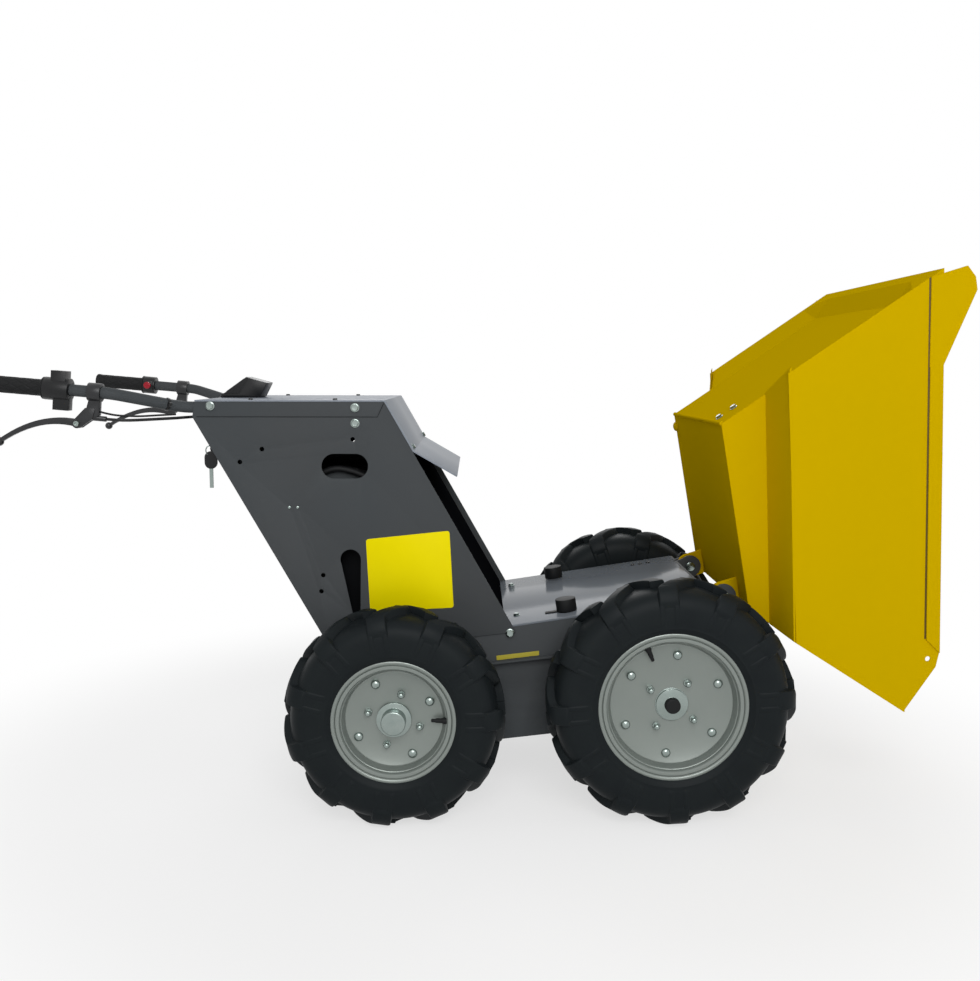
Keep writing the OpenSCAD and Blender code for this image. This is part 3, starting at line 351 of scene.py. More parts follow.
def mesh_object(
    name: str, verts: Iterable[Sequence[float]], faces: Iterable[Sequence[int]], finish: Finish
) -> bpy.types.Object:
    """Makes a plain mesh piece in metres, merged, closed outwards and smooth-shaded.

    Args:
        name: the piece's name.
        verts: its points.
        faces: its faces, as point numbers.
        finish: its finish.

    Returns:
        The new object, at the origin.
    """
    mesh = bpy.data.meshes.new(name)
    mesh.from_pydata([tuple(v) for v in verts], [], [tuple(f) for f in faces])
    with edited(mesh) as shape:
        bmesh.ops.remove_doubles(shape, verts=shape.verts, dist=1e-6)
        bmesh.ops.recalc_face_normals(shape, faces=shape.faces)
    mesh.materials.append(material_of(finish))
    shade(mesh)
    return stand(name, mesh)


def tie(piece: bpy.types.Object, body: str, slot: str, *nodes: str) -> bpy.types.Object:
    """Fixes a finished piece to its body.

    Args:
        piece: the piece, in its place.
        body: the body it rides on.
        slot: its material slot in the record; not used.
        nodes: the CAD nodes that it stands for.

    Returns:
        The piece.
    """
    if nodes:
        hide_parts(*nodes)
    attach(piece, body)
    log.info("%s: %d faces on %s", piece.name, len(piece.data.polygons), body)
    return piece


def add_piece(name: str, shape: Shape, finish: Finish, body: str = "chassis", *nodes: str) -> None:
    """Makes a mesh piece and fixes it to its body, in the place of CAD nodes if any are named."""
    tie(mesh_object(name, *shape, finish), body, finish.slot, *nodes)


def skin(rings: int, ring: int, closed: bool = False, capped: bool = False) -> list[list[int]]:
    """Faces over rings of points that follow one another.

    Args:
        rings: how many rings there are.
        ring: points in each ring.
        closed: whether the last ring joins the first.
        capped: whether the first and the last ring are filled.

    Returns:
        The faces, as point numbers.
    """
    faces = []
    for i in range(rings if closed else rings - 1):
        low, high = i * ring, (i + 1) % rings * ring
        for k in range(ring):
            j = (k + 1) % ring
            faces.append([low + k, low + j, high + j, high + k])
    if capped:
        faces += [list(range(ring)), [(rings - 1) * ring + k for k in range(ring)]]
    return faces


def combine(*shapes: Shape) -> Shape:
    """Puts several shapes into one list of points and faces.

    Args:
        shapes: the shapes.

    Returns:
        All their points and faces.
    """
    verts: list[Vector] = []
    faces: list[list[int]] = []
    for points, sides in shapes:
        faces += [[i + len(verts) for i in side] for side in sides]
        verts += points
    return verts, faces


def moved(shape: Shape, matrix: Matrix) -> Shape:
    """A shape taken through a matrix."""
    return [matrix @ v for v in shape[0]], shape[1]


def turned(profile: Sequence[Pair], segments: int, closed: bool = False) -> Shape:
    """Revolves a profile about Z.

    Args:
        profile: radius and height of each point, from end to end.
        segments: flats around.
        closed: whether the last point joins the first.

    Returns:
        Points and faces.
    """
    steps = [math.tau * k / segments for k in range(segments)]
    verts = [Vector((r * math.cos(a), r * math.sin(a), z)) for r, z in profile for a in steps]
    return verts, skin(len(profile), segments, closed)


def upright(place: Vector, facing: Sequence[float], spin: float = 0.0) -> Matrix:
    """Matrix that takes local millimetres, with Z along facing, to metres at a place.

    Args:
        place: where local zero goes, in metres.
        facing: direction of local Z.
        spin: turn about local Z, in radians.

    Returns:
        The matrix.
    """
    turn = Vector(facing).to_track_quat("Z", "Y").to_matrix().to_4x4()
    return Matrix.Translation(place) @ turn @ Matrix.Rotation(spin, 4, "Z") @ Matrix.Scale(MM, 4)


def tube(points: Sequence[Vector], radius: float, segments: int = 10, closed: bool = False) -> Shape:
    """Sweeps a circle along a line.

    Args:
        points: the line, in metres.
        radius: the tube's radius, in metres.
        segments: flats around.
        closed: whether the line joins its own start.

    Returns:
        Points in metres, and faces.
    """
    verts: list[Vector] = []
    count = len(points)
    side = Vector((0.31, 0.42, 0.85))
    for i, point in enumerate(points):
        before = points[i - 1] if closed or i else point
        after = points[(i + 1) % count] if closed or i < count - 1 else point
        ahead = (after - before).normalized()
        side = (side - ahead * side.dot(ahead)).normalized()
        other = ahead.cross(side)
        for k in range(segments):
            a = math.tau * k / segments
            verts.append(point + (side * math.cos(a) + other * math.sin(a)) * radius)
    return verts, skin(count, segments, closed, not closed)


def smooth_line(knots: Sequence[Vector], steps: int = 5) -> list[Vector]:
    """A smooth line through knots.

    Args:
        knots: the points that it passes, in order.
        steps: points for each stretch.

    Returns:
        The line's points.
    """
    line = []
    for i in range(len(knots) - 1):
        a, b, c, d = knots[max(i - 1, 0)], knots[i], knots[i + 1], knots[min(i + 2, len(knots) - 1)]
        for k in range(steps):
            t = k / steps
            bent = (2 * a - 5 * b + 4 * c - d) * t**2 + (3 * b - a - 3 * c + d) * t**3
            line.append((2 * b + (c - a) * t + bent) / 2)
    return [*line, knots[-1]]


def rounded(corners: Sequence[Vector], radius: float, steps: int = 5) -> list[Vector]:
    """Outline with its corners rounded.

    Args:
        corners: the corners in order.
        radius: reach of the rounding along each edge, in the corners' unit.
        steps: points at each corner, less one.

    Returns:
        The rounded outline.
    """
    outline = []
    for i, corner in enumerate(corners):
        start = corner + (corners[i - 1] - corner).normalized() * radius
        end = corner + (corners[(i + 1) % len(corners)] - corner).normalized() * radius
        for k in range(steps + 1):
            s = k / steps
            outline.append(start * (1 - s) ** 2 + corner * (2 * s * (1 - s)) + end * s**2)
    return outline


def slab(outline: Sequence[Vector], rise: Vector, inset: float = 0.0) -> Shape:
    """A plate over a flat outline, its upper edge set in a little.

    Args:
        outline: the lower edge.
        rise: from the lower face to the upper.
        inset: how far the upper edge is set in, in the outline's unit.

    Returns:
        Points and faces.
    """
    count = len(outline)
    middle = sum(outline, Vector((0, 0, 0))) / count
    rings = [
        list(outline),
        [p + rise * 0.6 for p in outline],
        [p + (middle - p).normalized() * inset + rise for p in outline],
    ]
    return [p for ring in rings for p in ring], skin(len(rings), count, capped=True)


def settle(piece: bpy.types.Object) -> bpy.types.Object:
    """Replaces an object's mesh by what its modifiers give, and removes them.

    Args:
        piece: the object.

    Returns:
        The same object, with its plain mesh.
    """
    graph = bpy.context.evaluated_depsgraph_get()
    mesh = bpy.data.meshes.new_from_object(piece.evaluated_get(graph), depsgraph=graph)
    piece.modifiers.clear()
    piece.data = mesh
    return piece


def paint(piece: bpy.types.Object, finish: Finish, where: Callable[[Vector], bool]) -> None:
    """Gives some of a piece's faces a second finish.

    Args:
        piece: the piece.
        finish: the second finish.
        where: whether a face with this middle point gets it.
    """
    piece.data.materials.append(material_of(finish))
    last = len(piece.data.materials) - 1
    for face in piece.data.polygons:
        if where(face.center):
            face.material_index = last


def soften(
    rig: Rig, node: str, finish: Finish, width_mm: float = 0.7, fold_deg: float = 30.0
) -> bpy.types.Object:
    """Stands a copy of a CAD node with rounded edges in the node's place.

    Args:
        rig: the loaded frame.
        node: the node's name.
        finish: the copy's finish.
        width_mm: width of the rounding.
        fold_deg: least fold that shows as a sharp line.

    Returns:
        The piece.
    """
    mesh = rig.frame["nodes"][node].data.copy()
    mesh.name = f"{node}_skin"
    if "custom_normal" in mesh.attributes:
        mesh.attributes.remove(mesh.attributes["custom_normal"])
    mesh.materials.clear()
    mesh.materials.append(material_of(finish))
    with edited(mesh) as shape:
        bmesh.ops.remove_doubles(shape, verts=shape.verts, dist=2e-6)
        bmesh.ops.dissolve_limit(
            shape, angle_limit=math.radians(0.3), verts=shape.verts, edges=shape.edges, delimit={"NORMAL"}
        )
    piece = stand(mesh.name, mesh)
    bevel = piece.modifiers.new("edge_rounding", "BEVEL")
    bevel.width = width_mm * MM
    bevel.segments = 2
    bevel.limit_method = "ANGLE"
    bevel.angle_limit = math.radians(30)
    shade(settle(piece).data, fold_deg)
    return tie(piece, rig.bodies[node], rig.slots[node], node)


@dataclass
class RepeatTree:
    """A geometry tree with the identifiers of its named inputs."""

    tree: bpy.types.NodeTree
    inputs: dict[str, str]

    def apply(self, host: bpy.types.Object, **values: Any) -> bpy.types.Object:
        """Runs the tree on a host and keeps the result as a plain mesh.

        Args:
            host: the object that carries the modifier.
            values: the tree's named inputs.

        Returns:
            The host, with its new mesh.
        """
        modifier = host.modifiers.new(self.tree.name, "NODES")
        modifier.node_group = self.tree
        for name, value in values.items():
            modifier[self.inputs[name]] = value
        settle(host)
        shade(host.data)
        return host


def start_tree(name: str, **kinds: str) -> tuple[RepeatTree, Mapping[str, bpy.types.NodeSocket]]:
    """Starts a geometry tree that repeats a shape.

    Args:
        name: the tree's name.
        kinds: socket type of each named input beside the shape and its finish.

    Returns:
        The tree, and the sockets that give its inputs.
    """
    tree = bpy.data.node_groups.new(name, "GeometryNodeTree")
    inputs = {}
    for key, kind in {"geometry": "Geometry", "shape": "Object", "finish": "Material", **kinds}.items():
        socket = tree.interface.new_socket(key, in_out="INPUT", socket_type=f"NodeSocket{kind}")
        inputs[key] = socket.identifier
    tree.interface.new_socket("geometry", in_out="OUTPUT", socket_type="NodeSocketGeometry")
    return RepeatTree(tree, inputs), add_node(tree, "NodeGroupInput").outputs


def end_tree(
    tree: bpy.types.NodeTree,
    given: Mapping[str, bpy.types.NodeSocket],
    points: bpy.types.NodeSocket,
    turn: bpy.types.Node,
) -> None:
    """Ends a geometry tree: stands its shape on points, makes it real and gives it its finish.

    Args:
        tree: the tree.
        given: the sockets that give its inputs.
        points: where the shape stands.
        turn: the node that turns it.
    """
    shape = add_node(tree, "GeometryNodeObjectInfo", {"Object": given["shape"]}, transform_space="ORIGINAL")
    inputs = {"Points": points, "Instance": shape.outputs["Geometry"], "Rotation": turn.outputs[0]}
    stood = add_node(tree, "GeometryNodeInstanceOnPoints", inputs)
    real = add_node(tree, "GeometryNodeRealizeInstances", {0: stood.outputs[0]})
    painted = add_node(tree, "GeometryNodeSetMaterial", {0: real.outputs[0], "Material": given["finish"]})
    add_node(tree, "NodeGroupOutput", {0: painted.outputs[0]})


@cache
def scatter_tree() -> RepeatTree:
    """Tree that stands one shape on every point of the host, along the point's facing.

    Returns:
        The tree, with the inputs shape, finish and seed.
    """
    made, given = start_tree("stand_on_points", seed="Int")
    tree = made.tree
    facing = add_node(
        tree, "GeometryNodeInputNamedAttribute", {"Name": "facing"}, data_type="FLOAT_VECTOR"
    ).outputs["Attribute"]
    aligned = add_node(tree, "FunctionNodeAlignRotationToVector", {"Vector": facing}, axis="Z")
    spin = add_node(
        tree, "FunctionNodeRandomValue", {2: 0.0, 3: math.tau, "Seed": given["seed"]}, data_type="FLOAT"
    )
    twist = add_node(tree, "FunctionNodeAxisAngleToRotation", {0: (0.0, 0.0, 1.0), 1: spin.outputs[1]})
    both = {0: aligned.outputs[0], 1: twist.outputs[0]}
    turn = add_node(tree, "FunctionNodeRotateRotation", both, rotation_space="LOCAL")
    end_tree(tree, given, given["geometry"], turn)
    return made


@cache
def ring_tree() -> RepeatTree:
    """Tree that repeats one shape round an axis along Y.

    Returns:
        The tree, with the inputs shape, finish, count, phase and centre.
    """
    made, given = start_tree("repeat_round_axle", count="Int", phase="Float", centre="Vector")
    tree = made.tree
    points = add_node(tree, "GeometryNodePoints", {"Count": given["count"], "Position": given["centre"]})
    index = add_node(tree, "GeometryNodeInputIndex").outputs[0]
    step = add_node(tree, "ShaderNodeMath", {0: math.tau, 1: given["count"]}, operation="DIVIDE")
    terms = {0: index, 1: step.outputs[0], 2: given["phase"]}
    angle = add_node(tree, "ShaderNodeMath", terms, operation="MULTIPLY_ADD")
    turn = add_node(tree, "FunctionNodeAxisAngleToRotation", {0: (0.0, -1.0, 0.0), 1: angle.outputs[0]})
    end_tree(tree, given, points.outputs[0], turn)
    return made


def drop(piece: bpy.types.Object) -> None:
    """Removes a helper object with its mesh.

    Args:
        piece: the helper, which is used up.
    """
    mesh = piece.data
    bpy.data.objects.remove(piece)
    bpy.data.meshes.remove(mesh)


def join(name: str, pieces: Sequence[bpy.types.Object]) -> bpy.types.Object:
    """Joins plain pieces that share a body and a finish into one.

    Args:
        name: the joined piece's name.
        pieces: the pieces, which are used up.

    Returns:
        The joined piece.
    """
    shape = bmesh.new()
    for piece in pieces:
        shape.from_mesh(piece.data)
    mesh = bpy.data.meshes.new(name)
    shape.to_mesh(mesh)
    shape.free()
    mesh.materials.append(pieces[0].data.materials[0])
    for piece in pieces:
        drop(piece)
    shade(mesh)
    return stand(name, mesh)


@dataclass
class Fasteners:
    """A set of like fasteners on one body."""

    name: str
    body: str
    head: Head
    across_mm: float
    spots: list[tuple[Vector, Point]]
    finish: Finish = ZINC
    seed: int = 3

    def shape(self) -> Shape:
        """One fastener's head, standing on its seat with its axis along Z.

        Returns:
            Points in millimetres, and faces.
        """
        r = self.across_mm / 2
        arc = [(math.cos(a * math.pi / 12), math.sin(a * math.pi / 12)) for a in range(1, 6)]
        if self.head is Head.HEX_FLANGE:
            flange = [(0.4, 0), (r * 1.32, 0), (r * 1.32, r * 0.14), (r * 1.1, r * 0.3), (r * 0.5, r * 0.3)]
            hexagon = [(r * 1.12, r * 0.1), (r * 1.12, r * 0.8), (r * 0.98, r * 0.94), (r * 0.5, r * 0.9)]
            return combine(turned(flange, 24), turned([*hexagon, (0.01, r * 0.9)], 6))
        if self.head is Head.DOME:
            dome = [(r, 0), (r, r * 0.16), *((r * c, r * (0.16 + 0.6 * s)) for c, s in arc)]
            return turned([*dome, (0.01, r * 0.76)], 24)
        if self.head is Head.STUD:
            nut = [(r * 1.6, 0), (r * 1.6, r * 0.9), (r * 1.3, r * 1.15), (r, r * 1.15)]
            end = [(r, r), (r, r * 2.6), *((r * c, r * (2.6 + 0.55 * s)) for c, s in arc)]
            return combine(turned(nut, 6), turned([*end, (0.01, r * 3.15)], 20))
        socket = [(r, 0), (r, r * 0.5), (r * 0.86, r * 0.68), (r * 0.5, r * 0.7), (r * 0.46, r * 0.25)]
        return turned([*socket, (0.01, r * 0.25)], 20)

    def build(self) -> bpy.types.Object:
        """Stands a head on every spot.

        Returns:
            The piece with all heads.
        """
        mesh = bpy.data.meshes.new(self.name)
        mesh.from_pydata([tuple(place) for place, _ in self.spots], [], [])
        facing = mesh.attributes.new("facing", "FLOAT_VECTOR", "POINT")
        facing.data.foreach_set("vector", [c for _, way in self.spots for c in way])
        host = stand(self.name, mesh)
        head = mesh_object(f"{self.name}_head", *moved(self.shape(), Matrix.Scale(MM, 4)), self.finish)
        scatter_tree().apply(host, shape=head, finish=material_of(self.finish), seed=self.seed)
        drop(head)
        return tie(host, self.body, self.finish.slot)


@dataclass
class Wheel:
    """One wheel: tyre with its lugs, rolled rim, hub, bolts and valve.

    Angles count from +X towards +Z, and distances across outwards from the tyre's middle.
    """

    rig: Rig
    name: str
    side: Side
    lugs: int
    lug_turn_deg: float
    rim_r: float
    rim_bolts: int
    rim_bolt_circle: float
    rim_bolt_deg: float
    stud_deg: float
    valve_deg: float
    black_cap: bool
    half_w: float = 56.0
    section_power: float = 2.8
    lug_height: float = 14.0
    lug_end_height: float = 1.5
    lug_half: float = 17.5
    lug_tip_half: float = 13.0
    lug_lead: float = 46.0
    lug_bend: float = 36.0
    lug_lap: float = 4.0
    lug_span_deg: Pair = (97.0, 14.0)
    rib_height: float = 4.6
    rib_half: float = 3.6
    rib_inset: float = 4.0
    rib_span_deg: Pair = (40.0, -14.0)
    stations: int = 22
    foot_deg: float = -58.0
    section_steps: int = 64
    ring_rise: Pair = (9.0, 30.0)
    ring_height: float = 1.3
    ring_half: float = 1.5
    rim_out: float = 45.0
    flange_h: float = 16.0
    sheet: float = 4.0
    disc_recess: float = 22.0
    disc_t: float = 5.0
    bore_r: float = 32.0
    cup_w: float = 7.0
    cap_from: float = 28.3
    rim_bolt_d: float = 17.5
    studs: int = 4
    stud_d: float = 10.0
    stud_circle: float = 100.0
    segments: int = 120

    def __post_init__(self) -> None:
        """Reads the wheel's place from the frame; its axle's height is the tyre's radius."""
        self.body = f"{self.name}_wheel"
        self.centre = self.rig.wheel_centres[self.body]
        self.tyre_r = self.centre.z / MM
        self.seat_r = self.rim_r - self.flange_h
        self.wall_r = self.seat_r - self.sheet
        self.disc_out = self.rim_out - self.disc_recess

    def spoke(self, angle: float, radius: float, across: float) -> Vector:
        """A point of the wheel from its centre, in metres."""
        return Vector((math.cos(angle) * radius, self.side.value * across, math.sin(angle) * radius)) * MM

    def section(self, t: float, grown: float) -> Vector:
        """Point of the tyre's section.

        Args:
            t: turn round the section from its outer side, in radians.
            grown: 0 for the bare tyre, 1 for the tops of the lugs.

        Returns:
            Distance across and radius, in millimetres.
        """
        out_r = self.tyre_r - self.lug_height * (1 - grown)
        half = self.half_w - self.lug_end_height * (1 - grown)
        middle = (out_r + self.seat_r) / 2
        c, s = math.cos(t), math.sin(t)
        power = 2 / self.section_power
        across = math.copysign(abs(c) ** power, c) * half
        rise = math.copysign(abs(s) ** power, s) * (out_r - middle)
        return Vector((across, middle + rise))

    def revolved(self, name: str, outline: Sequence[Pair], finish: Finish) -> bpy.types.Object:
        """Revolves a closed outline about the axle.

        Args:
            name: the piece's name.
            outline: distance across and radius of each point.
            finish: the piece's finish.

        Returns:
            The piece.
        """
        verts, faces = turned([(r, a) for a, r in outline], self.segments, closed=True)
        flip = Matrix(((1, 0, 0), (0, 0, self.side.value), (0, 1, 0))).to_4x4()
        place = Matrix.Translation(self.centre) @ flip @ Matrix.Scale(MM, 4)
        return mesh_object(name, [place @ v for v in verts], faces, finish)

    def carcass(self) -> bpy.types.Object:
        """The tyre without its lugs, with two raised rings on each sidewall.

        Returns:
            The piece.
        """
        foot = math.radians(self.foot_deg)
        out, rim = self.rim_out, self.rim_r
        outline = []
        for i in range(self.section_steps + 1):
            t = foot + (math.pi - 2 * foot) * i / self.section_steps
            across, radius = self.section(t, 0)
            from_rings = [(radius - rim - rise) / self.ring_half for rise in self.ring_rise]
            lift = sum(self.ring_height * math.exp(-(step**2)) for step in from_rings)
            outline.append((across + math.copysign(lift, across), radius))
        bead = [(out - 6.5, rim - 8), (out - 5, rim + 1), (out + 2, rim + 3)]
        bead = [p for p in bead if p[1] < outline[0][1]]
        outline = [*bead, *outline, *((-a, r) for a, r in reversed(bead))]
        return self.revolved(f"{self.name}_carcass", outline, TYRE_RUBBER)

    def bar(
        self, mirror: int, span_deg: Pair, line: Callable[[float], Pair], lift: float = 0.0
    ) -> bpy.types.Object:
        """A raised bar along the tyre's section with rounded edges, centred on the axle for repeating.

        Args:
            mirror: 1 for the outer half of the tread, -1 for the inner half.
            span_deg: first and last turn round the section.
            line: for a distance across, the bar's place round the tyre and its half width.
            lift: height over the bare tyre; 0 for the height of the lugs.

        Returns:
            A helper object.
        """
        verts = []
        for i in range(self.stations):
            t = math.radians(span_deg[0] + (span_deg[1] - span_deg[0]) * i / (self.stations - 1))
            low = self.section(t, 0)
            rise = self.section(t, 1) - low
            tall = lift or rise.length
            rise.normalize()
            middle, half = line(low.x)
            edge = min(2.2, tall * 0.45, half * 0.4)
            rim = [(half + 2.5, -2.5), (half + 0.8, tall * 0.4), (half, tall - edge)]
            rim += [(half - edge * 0.3, tall - edge * 0.3), (half - edge, tall)]
            for sign, points in ((-1, rim), (1, reversed(rim))):
                for step, height in points:
                    across, radius = low + rise * height
                    angle = math.asin((middle + sign * step) / radius)
                    verts.append(self.spoke(angle, radius, mirror * across))
        faces = skin(self.stations, len(verts) // self.stations, capped=True)
        return mesh_object("bar", verts, faces, TYRE_RUBBER)

    def lug_line(self, across: float) -> Pair:
        """Place round the tyre and half width of a lug, at a distance across."""
        share = min(1.0, max(0.0, (across + self.lug_lap) / (self.lug_bend + self.lug_lap)))
        return -self.lug_lead * (1 - share), self.lug_tip_half + (self.lug_half - self.lug_tip_half) * share

    def tread(self) -> list[bpy.types.Object]:
        """Chevron lugs and the forked ribs under their ends, repeated round the tyre.

        Returns:
            One piece for each kind and half.
        """
        made = []
        rubber = material_of(TYRE_RUBBER)
        reach = self.lug_half - self.rib_inset
        for mirror in (1, -1):
            turn = math.radians(self.lug_turn_deg) + (math.pi / self.lugs if mirror < 0 else 0.0)
            bars = {"lug": self.bar(mirror, self.lug_span_deg, self.lug_line)}
            for kind, place in (("rib_a", -reach), ("rib_b", reach)):
                line = (place, self.rib_half)
                bars[kind] = self.bar(mirror, self.rib_span_deg, lambda _, line=line: line, self.rib_height)
            for kind, one in bars.items():
                name = f"{self.name}_{kind}_{mirror}"
                host = stand(name, bpy.data.meshes.new(name))
                ring_tree().apply(
                    host, shape=one, finish=rubber, count=self.lugs, phase=turn, centre=tuple(self.centre)
                )
                drop(one)
                made.append(host)
        return made

    def rim(self) -> bpy.types.Object:
        """Rolled flanges with their groove, the drop centre, and the disc with its cupped edge.

        Returns:
            The piece.
        """
        r, wall, out, seat = self.rim_r, self.wall_r, self.rim_out, self.seat_r
        inside = [(wall - 12, 0), (wall - 12, 15), (wall, 22), (wall, out - 6)]
        inside += [(wall + 0.6, out - 3.4), (wall + 2.6, out - 1)]
        lip = [(r - 13, out - 0.2), (r - 11.4, out - 0.5), (r - 10.6, out - 1.9), (r - 9.8, out - 0.3)]
        turns = [math.radians(deg) for deg in range(150, -61, -15)]
        roll = [(r - 5 + 5 * math.cos(a), out - 3.4 + 5 * math.sin(a)) for a in turns]
        behind = [(seat + 4, out - 4), (seat, out - 7), (seat, 20), (seat - 12, 14), (seat - 12, 0)]
        half = [*inside, *lip, *roll, *behind]
        barrel = [(a, q) for q, a in half] + [(-a, q) for q, a in reversed(half)]
        edge, face = wall - self.cup_w, self.disc_out
        disc = [(face - self.disc_t, self.bore_r), (face, self.bore_r), (face, edge - 3)]
        disc += [(face + 0.7, edge - 2), (face + 0.7, edge - 0.6), (face + 0.2, edge + 0.2)]
        disc += [(face + 5, edge + 1.6), (face + 13, wall - 1.4), (face + 14, wall + 1)]
        disc.append((face - self.disc_t, wall + 1))
        pieces = [
            self.revolved(f"{self.name}_barrel", barrel, RIM_PAINT),
            self.revolved(f"{self.name}_disc", disc, RIM_PAINT),
        ]
        return join(f"{self.name}_rolled_rim", pieces)

    def bolts(self) -> None:
        """Domed rim bolts and the wheel studs on the disc."""
        out = (0.0, float(self.side.value), 0.0)
        rim_bolts = (self.rim_bolts, self.rim_bolt_circle, self.rim_bolt_deg, self.rim_bolt_d)
        studs = (self.studs, self.stud_circle, self.stud_deg, self.stud_d)
        for label, head, (count, circle, first, across) in (
            ("rim_bolts", Head.DOME, rim_bolts),
            ("wheel_studs", Head.STUD, studs),
        ):
            turns = [math.radians(first) + math.tau * k / count for k in range(count)]
            spots = [(self.centre + self.spoke(a, circle / 2, self.disc_out), out) for a in turns]
            Fasteners(f"{self.name}_{label}", self.body, head, across, spots).build()

    def valve(self) -> None:
        """Rubber valve stem that leans in from the rim."""
        angle = math.radians(self.valve_deg)
        foot = self.centre + self.spoke(angle, self.wall_r + 1, self.disc_out + 12)
        tip = self.centre + self.spoke(angle, self.wall_r - 30, self.disc_out + 10)
        profile = [(0.01, 0), (6, 0), (6, 7), (4.6, 11), (4.2, 22)]
        profile += [(3.4, 22.5), (3.4, 29), (2.6, 30), (0.01, 30)]
        stem = moved(turned(profile, 14), upright(foot, tip - foot))
        add_piece(f"{self.name}_valve", stem, SOFT_RUBBER, self.body)

    def build(self) -> None:
        """Builds and dresses the wheel."""
        tyre = join(f"{self.name}_lugged_tyre", [self.carcass(), *self.tread()])
        tie(tyre, self.body, TYRE_RUBBER.slot, f"{self.name}_tyre")
        tie(self.rim(), self.body, RIM_PAINT.slot, f"{self.name}_rim")
        hub = soften(self.rig, f"{self.name}_hub", ZINC, 0.8)
        if self.black_cap:
            start = self.centre.y + self.side.value * self.cap_from * MM
            paint(hub, SOFT_RUBBER, lambda place: (place.y - start) * self.side.value > 0)
        self.bolts()
        self.valve()


@dataclass
class Studio:
    """Pale floor, soft lights and the camera at the photograph's place."""

    rig: Rig
    camera_x: float = -372.8
    camera_y: float = -2218.6
    camera_z: float = 854.8
    yaw: float = 0.0157
    pitch: float = 0.1129
    roll: float = -0.002
    focal_px: float = 1032.44
    frame_px: float = 981.0
    sensor: float = 36.0
    floor_colour: str = "#F2F2F2"
    floor_half_m: float = 60.0
    floor_fade_m: Pair = (0.8, 1.5)
    floor_white: float = 0.65
    shade_side: float = 0.3
    bright_side: float = 0.52
    lamps: tuple[tuple[str, Point, float], ...] = (
        ("key", (0.3, -4.2, 2.8), 118.0),
        ("back", (0.0, 3.8, 3.4), 70.0),
    )
    lamp_aim: Point = (0.0, 0.0, 0.5)
    lamp_size: float = 2.6

    def camera(self) -> None:
        """Makes the camera and sets it."""
        data = bpy.data.cameras.new("camera")
        data.sensor_width = self.sensor
        data.lens = self.focal_px / self.frame_px * self.sensor
        data.clip_end = 200
        camera = stand("camera", data)
        camera.location = self.rig.at(self.camera_x, self.camera_y, self.camera_z)
        camera.rotation_euler = (math.pi / 2 - self.pitch, self.roll, -self.yaw)
        bpy.context.scene.camera = camera

    def lamp(self, name: str, place: Point, power: float) -> None:
        """Adds one soft square lamp.

        Args:
            name: the lamp's name.
            place: where it hangs, in metres.
            power: its power in watts.
        """
        data = bpy.data.lights.new(name, "AREA")
        data.energy = power
        data.size = self.lamp_size
        lamp = stand(name, data)
        lamp.location = place
        lamp.rotation_euler = (Vector(self.lamp_aim) - Vector(place)).to_track_quat("-Z", "Y").to_euler()

    def seen(self, tree: bpy.types.NodeTree) -> bpy.types.NodeSocket:
        """Adds the test for rays that show the backdrop, straight, mirrored or through glass.

        Args:
            tree: the tree that gets the nodes.

        Returns:
            A socket that is 1 for such a ray and else 0.
        """
        ray = add_node(tree, "ShaderNodeLightPath").outputs
        share = ray["Is Camera Ray"]
        for kind in ("Is Glossy Ray", "Is Transmission Ray"):
            share = add_node(tree, "ShaderNodeMath", {0: share, 1: ray[kind]}, operation="MAXIMUM").outputs[0]
        return share

    def floor(self) -> None:
        """Lays the pale floor, which keeps the shadow near the machine and turns white further off."""
        mesh = bpy.data.meshes.new("floor")
        far = self.floor_half_m
        mesh.from_pydata([(-far, -far, 0), (far, -far, 0), (far, far, 0), (-far, far, 0)], [], [(0, 1, 2, 3)])
        floor = stand("floor", mesh)
        material = bpy.data.materials.new("pale_studio_floor")
        material.use_nodes = True
        tree = material.node_tree
        shader = tree.nodes["Principled BSDF"]
        looks = {"Base Color": linear_colour(self.floor_colour), "Roughness": 0.9, "Specular IOR Level": 0.1}
        set_inputs(tree, shader, looks)
        coords = add_node(tree, "ShaderNodeTexCoord").outputs["Object"]
        away = add_node(tree, "ShaderNodeVectorMath", {0: coords}, operation="LENGTH").outputs["Value"]
        start, end = self.floor_fade_m
        span = {0: away, 1: start, 2: end, 3: self.floor_white}
        fade = add_node(tree, "ShaderNodeMapRange", span, interpolation_type="SMOOTHSTEP").outputs[0]
        terms = {0: fade, 1: self.seen(tree)}
        share = add_node(tree, "ShaderNodeMath", terms, operation="MULTIPLY").outputs[0]
        white = add_node(tree, "ShaderNodeEmission", {"Color": WHITE, "Strength": 1.0})
        mixed = add_node(tree, "ShaderNodeMixShader", {0: share, 1: shader.outputs[0], 2: white.outputs[0]})
        set_inputs(tree, tree.nodes["Material Output"], {"Surface": mixed.outputs[0]})
        mesh.materials.append(material)
        floor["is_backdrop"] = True

    def world(self) -> None:
        """White surroundings to the eye, and as light dimmer from the rear than from the front."""
        world = bpy.data.worlds.new("studio")
        bpy.context.scene.world = world
        world.use_nodes = True
        tree = world.node_tree
        coords = add_node(tree, "ShaderNodeTexCoord").outputs["Generated"]
        along = add_node(tree, "ShaderNodeSeparateXYZ", {0: coords}).outputs["X"]
        span = {0: along, 1: -0.8, 2: 0.8, 3: self.shade_side, 4: self.bright_side}
        light = add_node(tree, "ShaderNodeMapRange", span).outputs[0]
        strength = add_node(tree, "ShaderNodeMix", {0: self.seen(tree), 2: light, 3: 1.0}).outputs[0]
        set_inputs(tree, tree.nodes["Background"], {"Color": WHITE, "Strength": strength})

    def build(self) -> None:
        """Sets up camera, floor, lights and view."""
        self.camera()
        self.floor()
        self.world()
        for lamp in self.lamps:
            self.lamp(*lamp)
        bpy.context.scene.view_settings.view_transform = "Standard"


